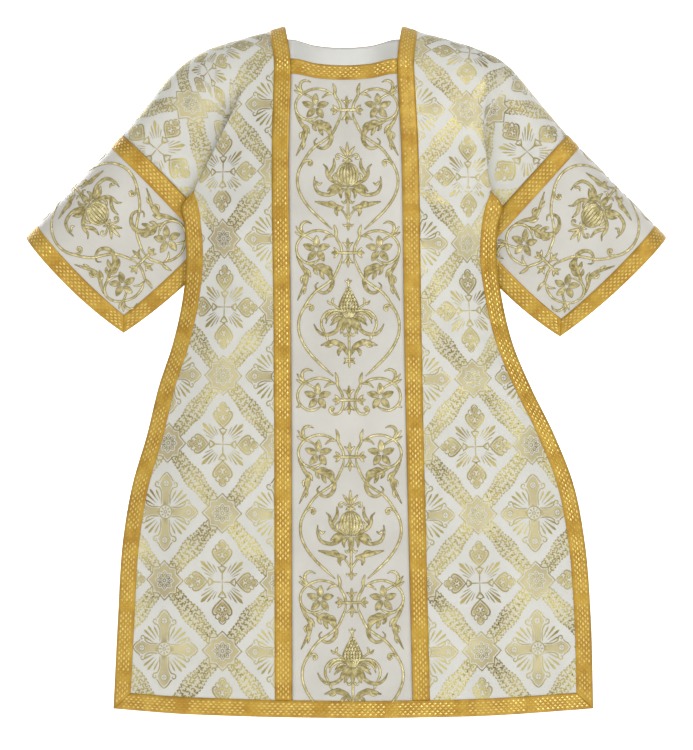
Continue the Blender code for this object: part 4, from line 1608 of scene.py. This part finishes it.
def star():
    """A star of four points and four corners: an outline, a solid frame, and a rosette in it."""
    quarter = list(STAR_CORNERS)
    right = quarter + [(x, -y) for x, y in quarter[-2::-1]]
    corners = right + [(-x, y) for x, y in right[-2:0:-1]]
    drawing = Drawing()
    closed(drawing, corners, 1.5)
    outer = finer(np.array(corners, float) * 0.87, 3)
    angle = np.arctan2(outer[:, 1], outer[:, 0])
    lobes = 14.2 + 1.8 * np.cos(8 * angle)
    frame(drawing, outer, np.column_stack([np.cos(angle), np.sin(angle)]) * lobes[:, None])
    petal = Drawing()
    for aside in (3.0, -3.0):
        woven(petal, ((0, 4.0), (aside, 8.6), (0, 14.2)), 1.3, 3.4)
    woven(petal, ((0, 6.2), (0, 11)), 2.0, 3.0, leaf_shape)
    petalled(drawing, petal)
    ring(drawing, (0, 0), 2.4, 1.5, 8)
    return drawing


def rays(beams, start):
    """Straight beams that widen outward: (angle from the middle one, length, width)."""
    drawing = Drawing()
    for angle, length, width in beams:
        one = Drawing()
        line = curve(((start, 0), (start + length * 0.92, 0), (start + length, 0)), 4.5)
        stops = (start, start + length * 0.85, start + length)
        widths = np.interp(line[:, 0], stops, (0.4, width, width * 0.3))
        one.ribbon(line, widths, WEAVE_LIFT, WOVEN)
        drawing.put(one, turn(45 + angle))
    return drawing


def palmette():
    """One arm of the flower, pointing up."""
    half = Drawing()
    woven(half, ((0, 13), (2.6, 17.5), (6.8, 23.5)), MEDIUM, 3.0, leaf_shape)
    woven(half, ((6.6, 23), (3.2, 22.6), (0, 26.5)), FINE)
    woven(half, ((0, 25.5), (4.8, 30), (9.8, 35.5), (13.6, 42), (14.2, 47), (11, 50.5), (7.6, 48.5),
                 (8.8, 45.2)), MEDIUM)
    woven(half, ((0.6, 31), (4.6, 35.5), (8.6, 41)), 1.4)
    scroll(half, 4.2, 41.0, 3.6, 20, 1, 2.0)
    scroll(half, 3.6, 48.2, 2.6, 200, -1, 1.4)
    woven(half, ((9.4, 50.5), (10.0, 54.5), (6.4, 56.6), (4.2, 53.2)), 1.6)
    woven(half, ((5.2, 56.5), (4.8, 60), (0, 64.5)), 1.7)
    woven(half, ((2.6, 52.6), (3.2, 58), (0, 61)), 1.5, 3.0, leaf_shape)
    arm = both(half)
    woven(arm, ((0, 0), (0, 20)), 1.5, 8.0)
    dot(arm, 0, 24.2, 1.8)
    dot(arm, 0, 36.0, 2.2)
    dot(arm, 0, 45.6, 2.0)
    woven(arm, ((0, 49), (0, 55)), 2.2, 3.0, leaf_shape)
    outline = finer(((0, 28.5), (5.6, 34), (10.6, 40), (12, 46.5), (6, 48.5), (-6, 48.5), (-12, 46.5),
                     (-10.6, 40), (-5.6, 34)), 2)
    middle = np.array((0.0, 41.0))
    frame(arm, outline, middle + (outline - middle) * 0.5)
    tip = finer(((0, 50), (6.6, 53), (4, 58), (0, 62), (-4, 58), (-6.6, 53)), 1)
    frame(arm, tip, tip * 0.0 + (0.0, 56.0))
    return arm


def four_ways(arm, burst):
    """An arm and a burst of beams, four times round."""
    drawing = Drawing()
    for side in range(4):
        reach = ((1, 0), (0, SIDE_REACH)) if side % 2 else ((1, 0), (0, 1))
        drawing.put(Drawing().put(arm, reach), turn(90 * side))
        drawing.put(burst, turn(90 * side))
    return drawing


def flower():
    """Four palmettes in a cross, with beams between them."""
    beams = ((0, 27, 5.2), (-9.5, 21, 2.3), (9.5, 21, 2.3), (-18, 13, 1.7), (18, 13, 1.7))
    return four_ways(palmette(), rays(beams, 17))


def cross():
    """A cross with budded ends, a rosette in its middle and beams between its arms."""
    half = Drawing()
    woven(half, ((7.4, 11), (7.0, 19), (7.4, 28), (9.4, 33.5), (12, 37), (16, 37.4), (18.6, 41), (16.4, 45),
                 (12.8, 43.8), (14.0, 40.6)), 1.8)
    woven(half, ((13.2, 46), (10, 48.6), (6.8, 54), (0, 60)), 1.8)
    arm = both(half)
    outline = finer(((5.0, 11), (5.0, 28), (7.6, 36), (10.4, 41.5), (7.6, 47.5), (4.8, 52.5), (0, 56.5),
                     (-4.8, 52.5), (-7.6, 47.5), (-10.4, 41.5), (-7.6, 36), (-5.0, 28), (-5.0, 11)), 2)
    spread = outline - (0.0, 43.0)
    bar = np.clip(spread[:, 1], None, 0.0) < -6.0
    ringed = spread / np.maximum(np.linalg.norm(spread, axis=1, keepdims=True), 1.0) * 5.2 + (0.0, 43.0)
    stem = np.column_stack([outline[:, 0] * 0.0, np.minimum(outline[:, 1], 37.8)])
    inner = np.where(bar[:, None], stem, ringed)
    frame(arm, outline, inner)
    ring(arm, (0, 43), 5.2, 1.0, 10)
    for x, y in ((0, 0), (2.3, 0), (-2.3, 0), (0, 2.3), (0, -2.3)):
        dot(arm, x, 43 + y, 1.0)
    beams = ((-18, 17, 3.2), (-6, 23, 3.8), (6, 23, 3.8), (18, 17, 3.2))
    drawing = four_ways(arm, rays(beams, 20))
    ring(drawing, (0, 0), 10.6, 1.6, 16)
    ring(drawing, (0, 0), 2.2, 1.5, 8)
    petal = Drawing()
    woven(petal, ((0, 4), (0, 8.8)), 2.3, 2.4, leaf_shape)
    petalled(drawing, petal)
    return drawing


def band(length):
    """The lace band between two stars, along +X: rows of curls inside a lobed edge."""
    drawing = Drawing()
    start, end = BAND_START, length - BAND_START
    middle = (start + end) / 2
    pitch = (end - start) / BAND_CURLS

    def half_width(x):
        return BAND_HALF + 3.2 * np.clip(1.6 - np.abs(x - middle) / 12.0, 0.0, 1.0)

    core = np.column_stack([np.linspace(start - 5.0, end + 5.0, 13), np.zeros(13)])
    drawing.ribbon(core, 2.0 * half_width(core[:, 0]), FILL_LIFT, THIN, 0.0, 5)
    for row in range(-2, 3):
        for step in range(BAND_CURLS):
            x = start + pitch * (step + 0.5 + 0.25 * (row % 2))
            y = row * half_width(x) * 0.38
            hand = 1 if (row + step) % 2 else -1
            scroll(drawing, x, y, 3.4, 50 * row + 140 * step, hand, 2.2)
    lobe, tip = Drawing(), Drawing()
    woven(lobe, ((-2.0, 0), (0, 1.7), (2.0, 0)), 1.9, 2.0)
    woven(tip, ((-4.5, 0), (0, 1.4), (4.5, 0)), 2.0, 3.0, leaf_shape)
    for hand in (1, -1):
        for step in range(BAND_LOBES):
            x = start + (end - start) * (step + 0.5) / BAND_LOBES
            drawing.put(lobe, ((1, 0), (0, hand)), (x, hand * (half_width(x) - 0.4)))
        for edge in (start - 2.0, end + 2.0):
            drawing.put(tip, ((1, 0), (0, hand)), (edge, hand * 8.0))
    return drawing


STAR, FLOWER, CROSS = star(), flower(), cross()
BAND_LENGTH = math.hypot(HALF_WIDE, HALF_HIGH)
BAND = band(BAND_LENGTH)
BAND_TURN = math.degrees(math.atan2(HALF_HIGH, HALF_WIDE))


def figured(origin, low, high, ease=1.0, swap=0):
    """The whole repeat over a stretch of cloth, from a star at the origin, in millimetres."""
    drawing = Drawing()
    first = [math.floor((low[axis] - origin[axis]) / (HALF_WIDE, HALF_HIGH)[axis]) - 1 for axis in (0, 1)]
    last = [math.ceil((high[axis] - origin[axis]) / (HALF_WIDE, HALF_HIGH)[axis]) + 1 for axis in (0, 1)]
    stretch = np.array(((1.0, 0.0), (0.0, -ease)))
    for column in range(first[0], last[0] + 1):
        for row in range(first[1], last[1] + 1):
            place = (origin[0] + column * HALF_WIDE, origin[1] + row * HALF_HIGH * ease)
            if (column + row) % 2 == 0:
                drawing.put(STAR, stretch, place)
                drawing.put(BAND, stretch @ turn(BAND_TURN), place)
                drawing.put(BAND, stretch @ turn(-BAND_TURN), place)
            else:
                drawing.put(FLOWER if (column + swap) % 2 == 0 else CROSS, stretch, place)
    return drawing


# The repeat's places: a star out from the galloon and down, on the body and on the sleeve.
# On the body each side's star also has the height of its repeat against the drawn one.
STAR_OUT = 80.5
BODY_STARS = {"left": (134.8, 0.9885), "right": (125.5, 1.0)}
FLARES = {"left": 0.44, "right": 0.15}    # how the repeat opens below the waist, past the first figures
FLARE_DROP = 0.42
FLARE_LIMITS = (0.96, 1.06)
SLEEVE_STARS = {"left": (211.0, 96.0), "right": (214.0, 88.0)}
SLEEVE_CLOSE = 1.2        # how much closer the figures stand inward of that star
SLEEVE_LEAN = 0.27        # how far the rows rise toward the neck, for each step inward of that star
SLEEVE_MEAN = 0.96        # the sleeve panel's mean width, as a part of its width at the ridge
SLEEVE_START = 0.05       # that rise grows over this depth below the ridge
RIDGE_OUTS = np.linspace(RIDGE[0].out, RIDGE[-1].out, 400)

# Stretches that the repeat covers, from the low to the high corner, in millimetres
BODY_REACH = ((-7.0, 0.0), (290.0, 1060.0))
SLEEVE_REACH = ((10.0, -10.0), (270.0, 260.0))
UNDER_GALLOON = 0.25      # how far the figures run on under the long galloon, in galloons


# Where the drawings lie
def along_rows(points, axes):
    """Distances across the net from its first column, counted in two of the three axes."""
    steps = np.linalg.norm(np.diff(points[..., axes], axis=1), axis=2)
    return np.hstack([np.zeros((len(points), 1)), np.cumsum(np.nan_to_num(steps), axis=1)])


def down_columns(points, axes, anchor):
    """Distances down the net, nothing at the anchor's row."""
    steps = np.linalg.norm(np.diff(points[..., axes], axis=0), axis=2)
    total = np.vstack([np.zeros((1, points.shape[1])), np.cumsum(np.nan_to_num(steps), axis=0)])
    return total - total[anchor]


def centre_lay(sign):
    """The middle panel: out from the axis, and down from the neck point."""
    neck = NECK_ROWS[sign]
    right = rows_of(NET.table(-1, (0, SEAM)), sign * neck, sign * HEM_ROW)
    left = rows_of(NET.table(1, (0, SEAM)), sign * neck, sign * HEM_ROW)
    table = np.hstack([right[:, :0:-1], left])
    points = NET.points[table]
    flat = np.stack([points[..., 0] + DRIFT * points[..., 2], -points[..., 2]], axis=-1)
    return Lay(table, flat)


def body_lay(side_name, sign):
    """A side panel's body: out from the long galloon, and down, upright to the armpit and below."""
    side = SIDES[side_name]
    inner = rows_of(NET.table(side, (SEAM, UNDER)), 0, sign * HEM_ROW)
    edge = rows_of(NET.table(side, (FOLD, SIDE_EDGE)), 0, sign * HEM_ROW)
    upper = row_index(ARM_ROW) - row_index(0)
    body = column_index(FOLD) - column_index(SEAM) + 1
    flats, tables = [], []
    lower_table = np.hstack([inner[upper:, :body], edge[upper:, 1:STRIP_STEPS // 2]])
    for table, anchor in ((inner[:upper + 1], upper), (lower_table, 0)):
        points = NET.points[table]
        across = along_rows(points, (0, 1)) - GALLOON
        down = down_columns(points, (1, 2), anchor) + ARM_DROP
        flare = np.clip(1.0 + FLARES[side_name] * (down - FLARE_DROP), *FLARE_LIMITS)
        across = np.where(across > STAR_OUT * MM, STAR_OUT * MM + (across - STAR_OUT * MM) / flare, across)
        flats.append(np.stack([across, down], axis=-1))
        tables.append(table)
    reach = (-UNDER_GALLOON * GALLOON, 1.0)
    return [Lay(table, flat, reach) for table, flat in zip(tables, flats)]


def sleeve_lay(side_name, sign):
    """A side panel's upper sleeve: along the shoulder ridge, and down from it."""
    side = SIDES[side_name]
    table = rows_of(NET.table(side, (UNDER, ARMHOLE)), 0, sign * ARM_ROW)
    points = NET.points[table]
    across = side * (points[..., 0] + DRIFT * points[..., 2])
    line = np.array([ridge(out) for out in RIDGE_OUTS])
    along = chords(line)
    apart = np.hypot(across[..., None] - line[:, 0], points[..., 2][..., None] - line[:, 1])
    nearest = apart.argmin(axis=-1)
    deep = apart.min(axis=-1)
    bent = np.stack([deep, points[..., 1]], axis=-1)
    down = down_columns(bent, (0, 1), 0)
    out = along[nearest]
    inward = np.maximum(SLEEVE_STARS[side_name][0] * MM - out, 0.0)
    down += SLEEVE_LEAN * inward * np.clip(down / SLEEVE_START, 0.0, 1.0)
    out = out - (SLEEVE_CLOSE - 1.0) * inward
    return Lay(table, np.stack([out, sign * down], axis=-1))


def cuff_lay(side):
    """A sleeve panel: across from its middle, and over the ridge from front to back."""
    table = rows_of(NET.table(side, (ARMHOLE, CUFF)), -ARM_ROW, ARM_ROW)
    columns = COLUMNS[column_index(ARMHOLE):column_index(CUFF) + 1]
    whole = np.arange(ARMHOLE, CUFF + 1)
    parts = np.interp(columns, whole, sleeve_parts())
    middle = NET.points[table[:, int(np.argmin(np.abs(parts - 0.5)))]]
    down = chords(middle)
    down -= down[len(down) // 2]
    width = (ridge(CUFF_OUT) - ridge(ARMHOLE_OUT)).length * SLEEVE_MEAN
    across, along = np.meshgrid((parts - 0.5) * width, -down)
    return Lay(table, np.stack([across, along], axis=-1))


def embroideries():
    made = {}
    threads_used = [STITCH, STITCH_EDGE_SHADE, MATT_STITCH]
    for face_name, sign in FACES.items():
        name = face_name + "_embroidery"
        made[name] = laid(name, [(embroidered(BODY_KNOTS), centre_lay(sign))], threads_used)
    for side_name, side in SIDES.items():
        name = "sleeve_embroidery_" + side_name
        drawing = embroidered(SLEEVE_KNOTS, SLEEVE_SQUEEZE, SLEEVE_SHIFTS[side_name])
        made[name] = laid(name, [(drawing, cuff_lay(side))], threads_used)
    return made


def figures():
    made = {}
    for face_name, sign in FACES.items():
        for side_name in SIDES:
            star_down, ease = BODY_STARS[side_name]
            body = figured((STAR_OUT, star_down), *BODY_REACH, ease)
            sleeve = figured(SLEEVE_STARS[side_name], *SLEEVE_REACH, swap=1)
            if sign < 0:
                sleeve = Drawing().put(sleeve, UPSIDE_DOWN)
            parts = [(body, lay) for lay in body_lay(side_name, sign)]
            parts.append((sleeve, sleeve_lay(side_name, sign)))
            name = face_name + "_figures_" + side_name
            made[name] = laid(name, parts, [WOVEN_GOLD, PALE_GOLD, THIN_GOLD])
    return made


# Panels
SLEEVE_TRIMS = ("arm", "cuff", "front_underarm", "back_underarm")


def block_of(side, sign, rows, columns):
    """A stretch of the front, or with sign -1 the same stretch of the back."""
    return NET.block(side, (sign * rows[0], sign * rows[1]), columns)


def all_panels():
    made = {}
    for face_name, sign in FACES.items():
        middle = (NECK_ROWS[sign], HEM_ROW)
        cells = np.vstack([block_of(side, sign, middle, (0, SEAM)) for side in SIDES.values()])
        name = face_name + "_centre_panel"
        made[name] = panel(name, "_satin", cells, SATIN)
        for side_name, side in SIDES.items():
            cells = np.vstack([
                block_of(side, sign, (0, ARM_ROW), (SEAM, ARMHOLE)),
                block_of(side, sign, (ARM_ROW, HEM_ROW), (SEAM, FOLD)),
                block_of(side, sign, (ARM_ROW, HEM_ROW), (FOLD, SIDE_EDGE)),
            ])
            name = face_name + "_side_panel_" + side_name
            made[name] = panel(name, "_brocade", cells, BROCADE)
    for side_name, side in SIDES.items():
        cells = NET.block(side, (-ARM_ROW, ARM_ROW), (ARMHOLE, CUFF))
        name = "sleeve_panel_" + side_name
        made[name] = panel(name, "_satin", cells, SATIN)
    return made


def neck_lining():
    """The plain facing inside the back of the neck."""
    rows = (-BACK_NECK_ROW, -LINING_ROW)
    cells = np.vstack([NET.block(side, rows, (0, SEAM)) for side in SIDES.values()])
    points, faces, picks, used = wall(cells, -2.0 * CLOTH - LAY, -CLOTH - LAY)
    piece = add_piece("neck_lining_cloth", points, faces, [LINING, LINING], picks, FLAT[used])
    return stands_for(piece, "neck_lining")


def declare_all():
    for face_name, sign in FACES.items():
        trims = [GALLOONS[face_name + place] for place in ("_neck_galloon", "_hem_galloon")]
        trims.append(EMBROIDERY[face_name + "_embroidery"])
        for side_name, side in SIDES.items():
            trims = [FIGURES[face_name + "_figures_" + side_name]]
            trims.append(GALLOONS[face_name + "_side_galloon_" + side_name])
            if sign > 0:
                trims.append(GALLOONS["long_galloon_" + side_name])
    for side_name, side in SIDES.items():
        trims = [GALLOONS[name + "_galloon_" + side_name] for name in SLEEVE_TRIMS]
        trims.append(EMBROIDERY["sleeve_embroidery_" + side_name])


camera()
surroundings()
PANELS = all_panels()
FACING = neck_lining()
GALLOONS = all_galloons()
EMBROIDERY = embroideries()
FIGURES = figures()
declare_all()
